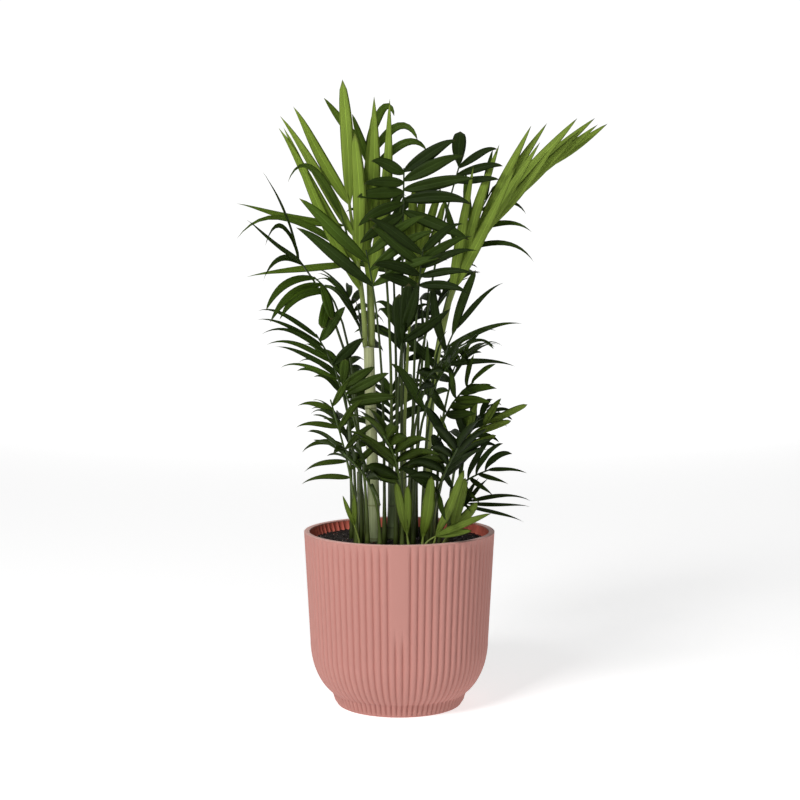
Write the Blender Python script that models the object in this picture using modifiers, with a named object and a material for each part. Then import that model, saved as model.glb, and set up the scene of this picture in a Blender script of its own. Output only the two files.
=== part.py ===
# Parlour palm in a ribbed plastic pot: one clump of seedlings, each frond its own solid.
# Metres, +Z up, origin at the centre of the pot's flat underside, the camera side at -Y.
import math
import random
from typing import NamedTuple

import bmesh
import bpy
import numpy as np
from mathutils.bvhtree import BVHTree

# Pot
pot_height = 0.168
rim_radius = 0.092
wall = 0.0030
rim_lip = 0.0046
rim_edge = 0.0009
shoulder_radius = 0.0862
shoulder_height = 0.062
round_width = 0.036
round_drop = 0.055
neck_radius = 0.0652
neck_height = 0.0124
foot_flare = 0.0025
foot_rise = 0.0045
foot_radius = 0.0605
foot_edge = 0.0006
floor_thickness = 0.0040
floor_radius = 0.0565
shoulder_steps = 5
shoulder_turn = 61.0

# Ribs round the pot's outside: a groove between every two, but for the smooth strip in front
rib_count = 79
rib_depth = 0.0014
rib_top = 0.1655
strip_foot = 0.085

# Soil and the gap that two touching pieces keep
soil_top = 0.158
soil_sides = 48
gap = 0.0003

# Canes, and how far above a cane's slanting top the stalks that it carries begin
pale_top = 0.345
olive_top = 0.226
dark_top = 0.214
seat = 0.0005

# Fronds
foot_height = soil_top + gap
knee_pull = 0.25
stalk_taper = 0.45
stalk_points = 9
leaf_thickness = 0.0011
leaf_clearance = 0.0004
# Leaf forms: places along the midrib, the share of the width there, and how far the angles vary
leaf_forms = {
    "strap": ((0.0, 0.40, 0.82, 1.0), (0.0, 0.97, 0.78, 0.0), 2.0),
    "blade": ((0.0, 0.34, 0.72, 1.0), (0.0, 1.0, 0.76, 0.0), 6.0),
    "drawn": ((0.0, 0.30, 0.66, 1.0), (0.0, 1.0, 0.60, 0.0), 3.5),
    "blunt": ((0.0, 0.45, 0.85, 1.0), (0.0, 0.90, 0.88, 0.0), 4.0),
    "spire": ((0.0, 0.35, 0.75, 1.0), (0.0, 1.0, 0.62, 0.0), 2.0),
    "loose": ((0.0, 0.34, 0.70, 1.0), (0.0, 1.0, 0.70, 0.0), 10.0),
}
last_share = 0.995
side_offset = 0.25
cup_angle = 12.0
belly = 0.12
length_spread = (0.93, 1.05)
width_spread = (0.9, 1.06)
droop_spread = (0.7, 1.3)
droop_pull = 1.8
above_soil = 0.003
above_rim = 0.002
rim_reach = 0.078

colours = {
    "pot": (0.56, 0.29, 0.25),
    "soil": (0.018, 0.013, 0.010),
    "pale": (0.43, 0.50, 0.20),
    "olive": (0.10, 0.14, 0.04),
    "dark": (0.020, 0.055, 0.012),
    "mid": (0.050, 0.130, 0.022),
    "bright": (0.150, 0.270, 0.045),
}


class Cane(NamedTuple):
    name: str
    foot: tuple
    top: tuple
    foot_radius: float
    top_radius: float
    tone: str


class Frond(NamedTuple):
    # foot, knee, tip: the stalk's path. bare: the share of it without leaflets.
    # face: azimuth and elevation that the upper side looks to, -90 being the camera's side.
    # left, right: count, first and last length, first and last angle from the stalk, droop,
    # width and form.
    name: str
    foot: tuple
    knee: tuple
    tip: tuple
    bare: float
    face: tuple
    left: tuple
    right: tuple
    tone: str
    stalk: float = 0.0016


canes = (
    Cane("cane_pale", (-0.0235, -0.012), (-0.029, -0.008, pale_top), 0.0060, 0.0050, "pale"),
    Cane("cane_olive", (-0.037, -0.010), (-0.038, -0.012, olive_top), 0.0036, 0.0026, "olive"),
    Cane("cane_dark", (-0.0062, 0.006), (-0.0055, 0.008, dark_top), 0.0064, 0.0040, "olive"),
)

fronds = (
    Frond("frond_young_left", (-0.0325, -0.0105, pale_top + seat), (-0.0391, -0.014, 0.4136),
          (-0.0492, -0.018, 0.497), 0.27, (-90, 5),
          (4, 0.176, 0.093, 16.50, 19, 0.22, 0.011, "spire"),
          (2, 0.1154, 0.0986, 8.60, 0.90, 0.01, 0.0122, "strap"), "bright", 0.0028),
    Frond("frond_side_left", (-0.0332, -0.0053, pale_top + seat), (-0.0429, -0.010, 0.4259),
          (-0.0564, -0.028, 0.4778), 0.39, (-90, 20),
          (2, 0.1097, 0.087, 83.50, 48, 0.12, 0.0078, "drawn"),
          (2, 0.142, 0.09, -26, -13, 0.80, 0.0076, "drawn"), "mid"),
    Frond("frond_spear", (-0.0266, -0.0045, pale_top + seat), (-0.031, 0.002, 0.43),
          (-0.032, 0.004, 0.487), 0.1, (-90, 5),
          (2, 0.135, 0.063, 2, 5, 0.01, 0.0105, "strap"),
          (3, 0.183, 0.07, 8, 5, 0.01, 0.0132, "spire"), "bright", 0.004),
    Frond("frond_top_back", (-0.0070, 0.0095, dark_top + seat), (-0.006, 0.018, 0.44),
          (-0.0328, 0.012, 0.5408), 0.85, (-90, 5),
          (2, 0.0449, 0.0718, -12, 41, 0.03, 0.0085, "blade"),
          (3, 0.066, 0.065, 62, 19, 0.90, 0.0085, "blade"), "mid"),
    Frond("frond_top_centre", (0.002, -0.008, foot_height), (0.003, -0.010, 0.44),
          (0.0044, -0.034, 0.5126), 0.76, (-90, 20),
          (5, 0.052, 0.032, 118, 50, 0.40, 0.0125, "loose"),
          (5, 0.066, 0.058, 100, 36, 0.42, 0.0128, "loose"), "dark"),
    Frond("frond_upper_right", (0.016, 0.020, foot_height), (0.022, 0.018, 0.4),
          (0.0576, 0.01, 0.5188), 0.92, (-90, 15),
          (1, 0.034, 0.034, 17, 17, 0.02, 0.015, "blunt"),
          (3, 0.0445, 0.044, 68, 17, 0.47, 0.008, "blade"), "dark"),
    Frond("frond_behind_right", (0.024, 0.034, foot_height), (0.032, 0.036, 0.4),
          (0.092, 0.04, 0.50), 0.68, (-90, 40),
          (3, 0.06, 0.046, 30, 22, 0.15, 0.0085, "loose"),
          (4, 0.085, 0.034, 53, 28, 0.90, 0.0064, "drawn"), "dark"),
    Frond("frond_young_right", (0.026, 0.006, foot_height), (0.02, 0.002, 0.426),
          (0.1339, 0.034, 0.5187), 0.475, (-90, 5),
          (6, 0.122, 0.088, 9, -2, 0.03, 0.0104, "spire"),
          (6, 0.134, 0.086, 8, 10, 0.03, 0.0104, "spire"), "bright", 0.0036),
    Frond("frond_left_high", (-0.0385, -0.0125, olive_top + seat), (-0.0764, -0.026, 0.4042),
          (-0.0953, -0.05, 0.4308), 0.84, (-90, 45),
          (2, 0.0747, 0.066, 45, -24, 0.95, 0.0066, "drawn"),
          (2, 0.1142, 0.0895, -41, 19, 0.03, 0.006, "drawn"), "dark"),
    Frond("frond_left_droop", (-0.036, -0.020, foot_height), (-0.0414, -0.034, 0.3864),
          (-0.079, -0.046, 0.4115), 0.78, (-90, 45),
          (2, 0.036, 0.038, 103, 139, 0.15, 0.0125, "blunt"),
          (3, 0.064, 0.072, -50, -44, 1.00, 0.0085, "blade"), "dark"),
    Frond("frond_cross_left", (-0.014, -0.026, foot_height), (-0.010, -0.034, 0.34),
          (-0.0308, -0.044, 0.4365), 0.8, (-90, 10),
          (2, 0.09, 0.088, 56, 15, 0.22, 0.0118, "blade"),
          (3, 0.066, 0.066, 66, 50, 0.30, 0.01, "blade"), "dark"),
    Frond("frond_left_mid", (-0.041, -0.024, foot_height), (-0.0389, -0.03, 0.2999),
          (-0.0774, -0.046, 0.3587), 0.67, (-90, 30),
          (6, 0.066, 0.073, 39, 18, 0.45, 0.0052, "drawn"),
          (2, 0.034, 0.038, 62, 50, 0.20, 0.0115, "blade"), "dark"),
    Frond("frond_left_low", (-0.040, -0.036, foot_height), (-0.045, -0.042, 0.230),
          (-0.064, -0.050, 0.298), 0.4, (-90, 30),
          (5, 0.048, 0.036, 66, 44, 0.60, 0.0062, "drawn"),
          (4, 0.046, 0.030, 50, 40, 0.4, 0.007, "blade"), "mid"),
    Frond("frond_right_mid", (0.022, -0.010, foot_height), (0.028, -0.014, 0.31),
          (0.054, -0.020, 0.366), 0.64, (-90, 5),
          (3, 0.044, 0.072, 70, -8, 0.05, 0.0092, "strap"),
          (3, 0.068, 0.066, 73, -3, 0.34, 0.0064, "drawn"), "dark"),
    Frond("frond_right_arch", (0.008, -0.022, foot_height), (0.010, -0.032, 0.33),
          (0.064, -0.056, 0.352), 0.7, (-90, 60),
          (1, 0.03, 0.03, 10, 10, 0.40, 0.005, "drawn"),
          (3, 0.04, 0.058, 70, 28, 0.60, 0.0052, "drawn"), "dark"),
    Frond("frond_right_bright", (0.032, -0.020, foot_height), (0.040, -0.026, 0.250),
          (0.088, -0.038, 0.278), 0.52, (-90, 15),
          (3, 0.04, 0.028, 60, 10, 0.10, 0.0078, "blade"),
          (3, 0.038, 0.042, 34, -2, 0.12, 0.0066, "strap"), "bright"),
    Frond("frond_right_low", (0.038, -0.032, foot_height), (0.044, -0.040, 0.218),
          (0.084, -0.062, 0.234), 0.5, (-90, 45),
          (5, 0.044, 0.034, 70, 4, 0.30, 0.0088, "blade"),
          (5, 0.036, 0.05, 80, 8, 0.35, 0.0052, "drawn"), "dark"),
    Frond("frond_right_fan", (0.046, -0.016, foot_height), (0.050, -0.018, 0.185),
          (0.067, -0.026, 0.200), 0.8, (-90, 10),
          (3, 0.030, 0.034, 40, 5, 0.100, 0.0048, "drawn"),
          (3, 0.058, 0.062, 42, 16, 0.30, 0.0046, "drawn"), "dark", 0.0011),
    Frond("frond_front_high", (-0.003, -0.034, foot_height), (-0.002, -0.040, 0.32),
          (0.004, -0.066, 0.366), 0.8, (-90, 0),
          (2, 0.055, 0.055, 7, 3, 0.03, 0.0135, "blunt"),
          (2, 0.062, 0.056, 49, -3, 0.08, 0.0115, "blade"), "dark"),
    Frond("frond_front_mid", (0.013, -0.038, foot_height), (0.016, -0.048, 0.3),
          (0.046, -0.098, 0.334), 0.55, (-75, 55),
          (6, 0.056, 0.052, 52, 12, 0.40, 0.012, "loose"),
          (6, 0.048, 0.046, 82, 36, 0.50, 0.0115, "loose"), "dark"),
    Frond("frond_front_low", (0.003, -0.048, foot_height), (0.006, -0.058, 0.236),
          (-0.014, -0.108, 0.270), 0.42, (-105, 60),
          (6, 0.05, 0.044, 78, 30, 0.45, 0.0122, "loose"),
          (6, 0.052, 0.05, 46, 8, 0.35, 0.0122, "loose"), "mid"),
    Frond("frond_front_left", (-0.018, -0.040, foot_height), (-0.020, -0.052, 0.222),
          (-0.050, -0.092, 0.252), 0.5, (-110, 55),
          (6, 0.048, 0.045, 60, 10, 0.45, 0.0112, "loose"),
          (5, 0.05, 0.046, 76, 30, 0.45, 0.0118, "loose"), "mid"),
    Frond("frond_front_right", (0.030, -0.048, foot_height), (0.036, -0.062, 0.222),
          (0.052, -0.106, 0.258), 0.42, (-70, 55),
          (6, 0.05, 0.046, 64, 20, 0.30, 0.0112, "loose"),
          (6, 0.046, 0.044, 70, 30, 0.50, 0.0108, "loose"), "dark"),
    Frond("frond_back_high", (-0.002, 0.026, foot_height), (-0.004, 0.036, 0.42),
          (-0.010, 0.104, 0.48), 0.62, (90, 60),
          (7, 0.060, 0.054, 62, 20, 0.55, 0.0095, "loose"),
          (7, 0.060, 0.054, 62, 20, 0.55, 0.0095, "loose"), "dark"),
    Frond("frond_back_left", (-0.022, 0.024, foot_height), (-0.026, 0.034, 0.35),
          (-0.054, 0.108, 0.392), 0.6, (90, 60),
          (7, 0.056, 0.052, 62, 20, 0.6, 0.0092, "loose"),
          (7, 0.056, 0.052, 62, 20, 0.6, 0.0092, "loose"), "dark"),
    Frond("frond_back_right", (0.010, 0.040, foot_height), (0.014, 0.050, 0.36),
          (0.050, 0.120, 0.402), 0.6, (90, 60),
          (7, 0.056, 0.052, 62, 20, 0.6, 0.0092, "loose"),
          (7, 0.056, 0.052, 62, 20, 0.6, 0.0092, "loose"), "dark"),
    Frond("frond_back_low_left", (-0.034, 0.022, foot_height), (-0.038, 0.034, 0.240),
          (-0.064, 0.098, 0.268), 0.5, (90, 60),
          (6, 0.046, 0.044, 62, 20, 0.6, 0.0085, "loose"),
          (6, 0.046, 0.044, 62, 20, 0.6, 0.0085, "loose"), "mid"),
    Frond("frond_back_low_right", (0.036, 0.030, foot_height), (0.042, 0.042, 0.236),
          (0.080, 0.100, 0.262), 0.5, (90, 60),
          (6, 0.048, 0.046, 62, 20, 0.6, 0.0085, "loose"),
          (6, 0.048, 0.046, 62, 20, 0.6, 0.0085, "loose"), "dark"),
    Frond("frond_back_low", (-0.010, 0.046, foot_height), (-0.010, 0.058, 0.262),
          (-0.008, 0.126, 0.294), 0.55, (90, 65),
          (6, 0.052, 0.050, 62, 20, 0.6, 0.0092, "loose"),
          (6, 0.052, 0.050, 62, 20, 0.6, 0.0092, "loose"), "dark"),
    Frond("frond_centre_upper", (0.012, -0.020, foot_height), (0.013, -0.026, 0.372),
          (0.022, -0.052, 0.438), 0.76, (-90, 20),
          (4, 0.036, 0.068, 74, 42, 0.35, 0.0112, "blade"),
          (5, 0.054, 0.054, 80, 22, 0.55, 0.0092, "drawn"), "dark"),
    Frond("frond_right_inner", (0.026, -0.036, foot_height), (0.030, -0.042, 0.286),
          (0.068, -0.074, 0.316), 0.6, (-90, 45),
          (3, 0.044, 0.03, 70, 22, 0.30, 0.01, "loose"),
          (6, 0.046, 0.046, 58, 14, 0.20, 0.0092, "loose"), "mid"),
    Frond("frond_right_behind", (0.048, 0.012, foot_height), (0.052, 0.016, 0.250),
          (0.084, 0.040, 0.276), 0.55, (-90, 60),
          (5, 0.036, 0.034, 62, 20, 0.6, 0.0072, "loose"),
          (5, 0.036, 0.034, 62, 20, 0.6, 0.0072, "loose"), "dark"),
    Frond("frond_left_inner", (-0.030, -0.036, foot_height), (-0.0397, -0.038, 0.2779),
          (-0.0533, -0.046, 0.3122), 0.74, (-90, 20),
          (1, 0.028, 0.028, -27, -27, 0.02, 0.0115, "blunt"),
          (3, 0.044, 0.034, 98, 62, 0.15, 0.0115, "blade"), "mid"),
    Frond("frond_back_mid", (0.006, 0.054, foot_height), (0.006, 0.064, 0.33),
          (0.004, 0.128, 0.37), 0.6, (90, 60),
          (6, 0.052, 0.050, 62, 20, 0.6, 0.0095, "loose"),
          (6, 0.052, 0.050, 62, 20, 0.6, 0.0095, "loose"), "dark"),
    Frond("frond_back_young", (0.004, 0.030, foot_height), (0.008, 0.034, 0.38),
          (0.020, 0.056, 0.442), 0.7, (90, 5),
          (4, 0.084, 0.076, 14, 5, 0.050, 0.0085, "strap"),
          (4, 0.080, 0.074, 12, 6, 0.050, 0.0085, "strap"), "bright", 0.002),
    Frond("frond_back_side_right", (0.036, 0.018, foot_height), (0.040, 0.028, 0.305),
          (0.068, 0.092, 0.336), 0.6, (90, 60),
          (6, 0.05, 0.048, 62, 20, 0.60, 0.0092, "loose"),
          (6, 0.05, 0.048, 62, 20, 0.60, 0.0092, "loose"), "dark"),
    Frond("frond_back_side_left", (-0.046, 0.006, foot_height), (-0.048, 0.016, 0.295),
          (-0.062, 0.084, 0.325), 0.6, (90, 60),
          (6, 0.05, 0.048, 62, 20, 0.60, 0.0092, "loose"),
          (6, 0.05, 0.048, 62, 20, 0.60, 0.0092, "loose"), "dark"),
    Frond("shoot_left", (-0.037, -0.050, foot_height), (-0.039, -0.050, 0.170),
          (-0.042, -0.050, 0.180), 0.8, (-90, 5),
          (1, 0.034, 0.034, 8, 8, 0.020, 0.005, "blade"),
          (1, 0.034, 0.034, 10, 10, 0.020, 0.005, "blade"), "bright", 0.0012),
    Frond("shoot_centre", (0.009, -0.062, foot_height), (0.008, -0.061, 0.166),
          (0.007, -0.060, 0.174), 0.8, (-90, 5),
          (1, 0.050, 0.050, 4, 4, 0.020, 0.0085, "strap"),
          (1, 0.044, 0.044, 8, 8, 0.020, 0.0085, "strap"), "bright"),
    Frond("shoot_broad", (0.021, -0.060, foot_height), (0.022, -0.060, 0.165),
          (0.022, -0.060, 0.171), 0.8, (-90, 5),
          (1, 0.060, 0.060, 2, 2, 0.020, 0.011, "strap"),
          (1, 0.064, 0.064, 6, 6, 0.020, 0.011, "strap"), "bright", 0.0018),
    Frond("shoot_right", (0.031, -0.068, foot_height), (0.032, -0.068, 0.165),
          (0.034, -0.068, 0.173), 0.8, (-90, 5),
          (1, 0.072, 0.072, 0, 0, 0.050, 0.008, "strap"),
          (1, 0.060, 0.060, 9, 9, 0.050, 0.008, "strap"), "bright"),
    Frond("shoot_wide", (0.040, -0.058, foot_height), (0.044, -0.058, 0.169),
          (0.050, -0.058, 0.180), 0.8, (-90, 5),
          (1, 0.056, 0.056, 2, 2, 0.050, 0.012, "strap"),
          (1, 0.034, 0.034, 14, 14, 0.05, 0.009, "strap"), "bright", 0.0015),
    Frond("shoot_flat", (0.022, -0.076, foot_height), (0.023, -0.076, 0.169),
          (0.034, -0.075, 0.174), 0.8, (-90, 30),
          (1, 0.056, 0.056, -9, -9, 0.05, 0.0075, "blade"),
          (1, 0.034, 0.034, 20, 20, 0.100, 0.0075, "blade"), "bright", 0.0012),
)


def mix(a, b, share):
    return a + (b - a) * share


def unit(vector):
    return vector / np.linalg.norm(vector)


def turned(vector, axis, degrees):
    angle = math.radians(degrees)
    along = axis * np.dot(axis, vector) * (1 - math.cos(angle))
    return vector * math.cos(angle) + np.cross(axis, vector) * math.sin(angle) + along


def stalk_place(frond, share):
    foot, knee, tip = (np.array(place) for place in (frond.foot, frond.knee, frond.tip))
    low = np.array((foot[0], foot[1], mix(knee[2], foot[2], knee_pull)))
    high = mix(knee, tip, knee_pull)
    rest = 1 - share
    return (foot * rest**3 + 3 * low * rest**2 * share
            + 3 * high * rest * share**2 + tip * share**3)


def chord_place(frond, share):
    # On the straight runs between the stalk's points, where its tube is.
    slot = min(share * (stalk_points - 1), stalk_points - 1.001)
    low = int(slot)
    ends = [stalk_place(frond, point / (stalk_points - 1)) for point in (low, low + 1)]
    return mix(ends[0], ends[1], slot - low)


def stalk_radius(frond, share):
    return mix(frond.stalk, max(frond.stalk * stalk_taper, 0.0006), share)


def stalk_axes(frond, share):
    azimuth, elevation = (math.radians(angle) for angle in frond.face)
    face = np.array((math.cos(azimuth) * math.cos(elevation),
                     math.sin(azimuth) * math.cos(elevation), math.sin(elevation)))
    step = 0.01
    along = unit(stalk_place(frond, share + step) - stalk_place(frond, share - step))
    upper = unit(face - along * np.dot(face, along))
    return along, upper, np.cross(along, upper)


class Leaflet(NamedTuple):
    root: np.ndarray
    heading: np.ndarray
    upper: np.ndarray
    length: float
    width: float
    droop: float
    form: str


def leaflets(frond):
    # Each side's leaflets in turn from the lowest to the tip, with a little seeded variety.
    dice = random.Random(frond.name)
    for side, row in ((-1, frond.left), (1, frond.right)):
        count, first_length, last_length, first_angle, last_angle, sag, breadth, form = row
        swing = leaf_forms[form][2]
        for index in range(count):
            order = (index + 0.5) / count if count > 1 else 1.0
            rank = order if side < 0 else min(1.0, order + side_offset / count)
            share = mix(frond.bare, last_share, rank)
            along, upper, across = stalk_axes(frond, share)
            angle = math.radians(mix(first_angle, last_angle, order) + dice.uniform(-swing, swing))
            lift = math.radians(cup_angle + dice.uniform(-swing, swing))
            level = along * math.cos(angle) + across * side * math.sin(angle)
            heading = unit(level * math.cos(lift) + upper * math.sin(lift))
            length = mix(first_length, last_length, order) * (1 + belly * math.sin(math.pi * order))
            length *= dice.uniform(*length_spread)
            width = breadth * dice.uniform(*width_spread)
            droop = sag * dice.uniform(*droop_spread)
            yield Leaflet(chord_place(frond, share), heading, upper, length, width, droop, form)


def leaflet_path(leaflet, steps):
    # Places along the midrib: the heading sinks as the square of the way out.
    places = [leaflet.root]
    headings = [leaflet.heading]
    down = np.array((0.0, 0.0, -1.0))
    for step in range(steps):
        way = (step + 0.5) / steps
        heading = unit(leaflet.heading + down * leaflet.droop * droop_pull * way**2)
        places.append(places[-1] + heading * leaflet.length / steps)
        headings.append(heading)
    return places, headings


def clear_scene():
    for thing in list(bpy.data.objects):
        bpy.data.objects.remove(thing)


def new_collection(name):
    collection = bpy.data.collections.new(name)
    bpy.context.scene.collection.children.link(collection)
    return collection


def finish(name, tone):
    material = bpy.data.materials.new(name)
    material.use_nodes = True
    shader = material.node_tree.nodes["Principled BSDF"]
    shader.inputs["Base Color"].default_value = (*colours[tone], 1.0)
    shader.inputs["Roughness"].default_value = 0.5 if tone == "pot" else 0.7
    shader.inputs["Metallic"].default_value = 0.0
    return material


def add_object(name, mesh, collection, tone=None):
    thing = bpy.data.objects.new(name, mesh)
    collection.objects.link(thing)
    if tone:
        mesh.materials.append(finish(name, tone))
    return thing


def evaluated_mesh(thing):
    bpy.context.view_layer.update()
    depsgraph = bpy.context.evaluated_depsgraph_get()
    return bpy.data.meshes.new_from_object(thing.evaluated_get(depsgraph))


def welded(mesh, distance=1e-6):
    work = bmesh.new()
    work.from_mesh(mesh)
    bmesh.ops.remove_doubles(work, verts=work.verts, dist=distance)
    bmesh.ops.recalc_face_normals(work, faces=work.faces)
    work.to_mesh(mesh)
    work.free()
    return mesh


def outer_wall():
    # Radius, height and groove depth down the ribbed outside, from under the rim to the foot.
    line = [(rim_radius, rib_top, rib_depth)]
    for step in range(shoulder_steps):
        turn = math.radians(shoulder_turn * step / (shoulder_steps - 1))
        line.append((shoulder_radius - round_width * (1 - math.cos(turn)),
                     shoulder_height - round_drop * math.sin(turn), rib_depth))
    return line + [(neck_radius, neck_height, rib_depth),
                   (foot_radius + foot_flare, foot_rise, rib_depth)]


def inner_wall(top, clearance):
    # The same shoulder one wall in, from the floor up to the given height.
    inset = wall + clearance
    floor = floor_thickness + clearance
    line = [(0.0, floor), (floor_radius - clearance, floor)]
    for step in reversed(range(shoulder_steps)):
        turn = math.radians(shoulder_turn * step / (shoulder_steps - 1))
        line.append((shoulder_radius - inset - round_width * (1 - math.cos(turn)),
                     shoulder_height - (round_drop - inset) * math.sin(turn)))
    lip = rim_radius - rim_edge - rim_lip
    share = (top - shoulder_height) / (pot_height - shoulder_height)
    line.append((mix(shoulder_radius - inset, lip - clearance, share), top))
    return line


def ring_places(radius, height, depth, count):
    # One ring from the front round: a groove at every second place of a ribbed ring.
    places = []
    for place in range(count):
        azimuth = math.tau * place / count - math.pi / 2
        in_strip = place in (1, count - 1) and height > strip_foot
        inset = depth if place % 2 and not in_strip else 0.0
        places.append(((radius - inset) * math.cos(azimuth), (radius - inset) * math.sin(azimuth), height))
    return places


def ring_faces(start, count, after, more):
    # Faces between a ring and the next, where one of them may be a point or have twice the places.
    faces = []
    for place in range(max(count, more)):
        turn = (place + 1) % max(count, more)
        near = start + place * count // max(count, more)
        next_near = start + turn * count // max(count, more)
        far = after + place * more // max(count, more)
        next_far = after + turn * more // max(count, more)
        faces.append(list(dict.fromkeys((near, next_near, next_far, far))))
    return faces


def make_pot(collection):
    inside = [(radius, height, 0.0, rib_count if radius else 1)
              for radius, height in inner_wall(pot_height, 0.0)]
    rim = [(rim_radius - rim_edge, pot_height, 0.0, rib_count),
           (rim_radius, pot_height - rim_edge, 0.0, rib_count)]
    outside = [(*row, 2 * rib_count) for row in outer_wall()]
    foot = [(foot_radius, foot_edge, 0.0, rib_count),
            (foot_radius - foot_edge, 0.0, 0.0, rib_count), (0.0, 0.0, 0.0, 1)]
    places, faces = [], []
    start, last_count = 0, 0
    for radius, height, depth, count in inside + rim + outside + foot:
        after = len(places)
        places += ring_places(radius, height, depth, count)
        if last_count:
            faces += ring_faces(start, last_count, after, count)
        start, last_count = after, count
    mesh = bpy.data.meshes.new("pot")
    mesh.from_pydata(places, [], faces)
    return add_object("pot", welded(mesh), collection, "pot")


def turned_object(name, profile, collection, tone):
    mesh = bpy.data.meshes.new(name)
    places = [(radius, 0.0, height) for radius, height in profile]
    mesh.from_pydata(places, [(step, step + 1) for step in range(len(places) - 1)], [])
    thing = add_object(name, mesh, collection, tone)
    turn = thing.modifiers.new("turn", "SCREW")
    turn.steps = soil_sides
    turn.render_steps = soil_sides
    turn.use_merge_vertices = True
    turn.merge_threshold = 1e-5
    turn.use_smooth_shade = True
    return thing


def make_soil(collection):
    side = inner_wall(soil_top, gap)
    side.reverse()
    return turned_object("soil", [(0.0, soil_top)] + side, collection, "soil")


def tube_mesh(name, places, radii, resolution):
    curve = bpy.data.curves.new(name, "CURVE")
    curve.dimensions = "3D"
    curve.bevel_depth = 1.0
    curve.bevel_resolution = resolution
    curve.use_fill_caps = True
    line = curve.splines.new("POLY")
    line.points.add(len(places) - 1)
    for point, place, radius in zip(line.points, places, radii):
        point.co = (*place, 1.0)
        point.radius = radius
    thing = bpy.data.objects.new(name, curve)
    bpy.context.scene.collection.objects.link(thing)
    mesh = evaluated_mesh(thing)
    bpy.data.objects.remove(thing)
    return welded(mesh)


def cane_mesh(cane, extra=0.0):
    foot = np.array((*cane.foot, foot_height))
    top = np.array(cane.top)
    shares = [step / 4 for step in range(5)]
    places = [mix(foot, top, share) for share in shares]
    radii = [mix(cane.foot_radius, cane.top_radius, share) + extra for share in shares]
    return tube_mesh(cane.name, places, radii, 1)


def stalk_mesh(frond, extra=0.0):
    shares = [step / (stalk_points - 1) for step in range(stalk_points)]
    places = [stalk_place(frond, share) for share in shares]
    radii = [stalk_radius(frond, share) + extra for share in shares]
    return tube_mesh(frond.name, places, radii, 0)


def leaf_mesh(name, leaflet, extra=0.0):
    # A thin blade: a point inside the stalk, two diamond sections and a point at the tip.
    steps = 8
    places, headings = leaflet_path(leaflet, steps)
    rows = []
    for station, share in zip(*leaf_forms[leaflet.form][:2]):
        slot = station * steps
        low = min(int(slot), steps - 1)
        place = mix(places[low], places[low + 1], slot - low)
        heading = headings[min(low + 1, steps)]
        across = unit(np.cross(heading, leaflet.upper))
        normal = np.cross(across, heading)
        if share == 0.0:
            rows.append([place + heading * extra * (1 if station else 0)])
            continue
        half = across * (leaflet.width * share / 2 + extra)
        thick = normal * (leaf_thickness * (0.5 + share / 2) / 2 + extra)
        rows.append([place + half, place + thick, place - half, place - thick])
    verts = [tuple(place) for row in rows for place in row]
    faces = [(0, 1 + side, 1 + (side + 1) % 4) for side in range(4)]
    faces += [(1 + side, 5 + side, 5 + (side + 1) % 4, 1 + (side + 1) % 4) for side in range(4)]
    faces += [(5 + side, 9, 5 + (side + 1) % 4) for side in range(4)]
    mesh = bpy.data.meshes.new(name)
    mesh.from_pydata(verts, [], faces)
    work = bmesh.new()
    work.from_mesh(mesh)
    bmesh.ops.triangulate(work, faces=work.faces)
    bmesh.ops.recalc_face_normals(work, faces=work.faces)
    work.to_mesh(mesh)
    work.free()
    return mesh


def search_tree(meshes):
    verts = []
    faces = []
    for mesh in meshes:
        start = len(verts)
        verts += [vertex.co.copy() for vertex in mesh.vertices]
        faces += [[start + corner for corner in face.vertices] for face in mesh.polygons]
    return BVHTree.FromPolygons(verts, faces)


def in_pot(leaflet):
    # Whether any of the blade would touch the soil or the rim.
    places, _ = leaflet_path(leaflet, 8)
    for place in places[2:]:
        reach = math.hypot(place[0], place[1])
        low = place[2] - leaflet.width / 2
        if low < soil_top + above_soil or (low < pot_height + above_rim and reach > rim_reach):
            return True
    return False


def nudged(leaflet, spread, lift, shrink):
    heading = turned(leaflet.heading, leaflet.upper, spread)
    side = unit(np.cross(leaflet.heading, leaflet.upper))
    heading = turned(heading, side, lift)
    return leaflet._replace(heading=heading, length=leaflet.length * shrink)


nudges = ((0, 0, 1.0), (8, 0, 1.0), (-8, 0, 1.0), (0, 9, 1.0), (0, -9, 1.0), (14, 7, 0.95),
          (-14, 7, 0.95), (14, -7, 0.95), (-14, -7, 0.95), (0, 20, 0.9), (0, -20, 0.9),
          (24, 8, 0.8), (-24, 8, 0.8), (10, 30, 0.75), (-10, -30, 0.75))


def clear_leaflet(leaflet, name, trees):
    # The leaflet where it is clear of every other piece, turned a little if it has to be.
    for spread, lift, shrink in nudges:
        trial = nudged(leaflet, spread, lift, shrink)
        if in_pot(trial):
            continue
        test = leaf_mesh(name + "_test", trial, leaf_clearance)
        tree = search_tree([test])
        bpy.data.meshes.remove(test)
        if not any(tree.overlap(other) for other in trees):
            return trial
    return None


def keep_outer_shell(mesh):
    # Scraps and sealed hollows go: the outer shell is the island of the largest volume.
    work = bmesh.new()
    work.from_mesh(mesh)
    bmesh.ops.triangulate(work, faces=work.faces)
    unseen = set(work.faces)
    islands = []
    while unseen:
        front = [unseen.pop()]
        island = []
        while front:
            face = front.pop()
            island.append(face)
            beside = {other for edge in face.edges for other in edge.link_faces} & unseen
            unseen -= beside
            front += beside
        volume = sum(face.verts[0].co.dot(face.verts[1].co.cross(face.verts[2].co))
                     for face in island) / 6
        islands.append((volume, island))
    islands.sort(key=lambda entry: entry[0])
    loose = [face for _, island in islands[:-1] for face in island]
    bmesh.ops.delete(work, geom=loose, context="FACES")
    work.to_mesh(mesh)
    work.free()
    return len(islands) - 1


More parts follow.
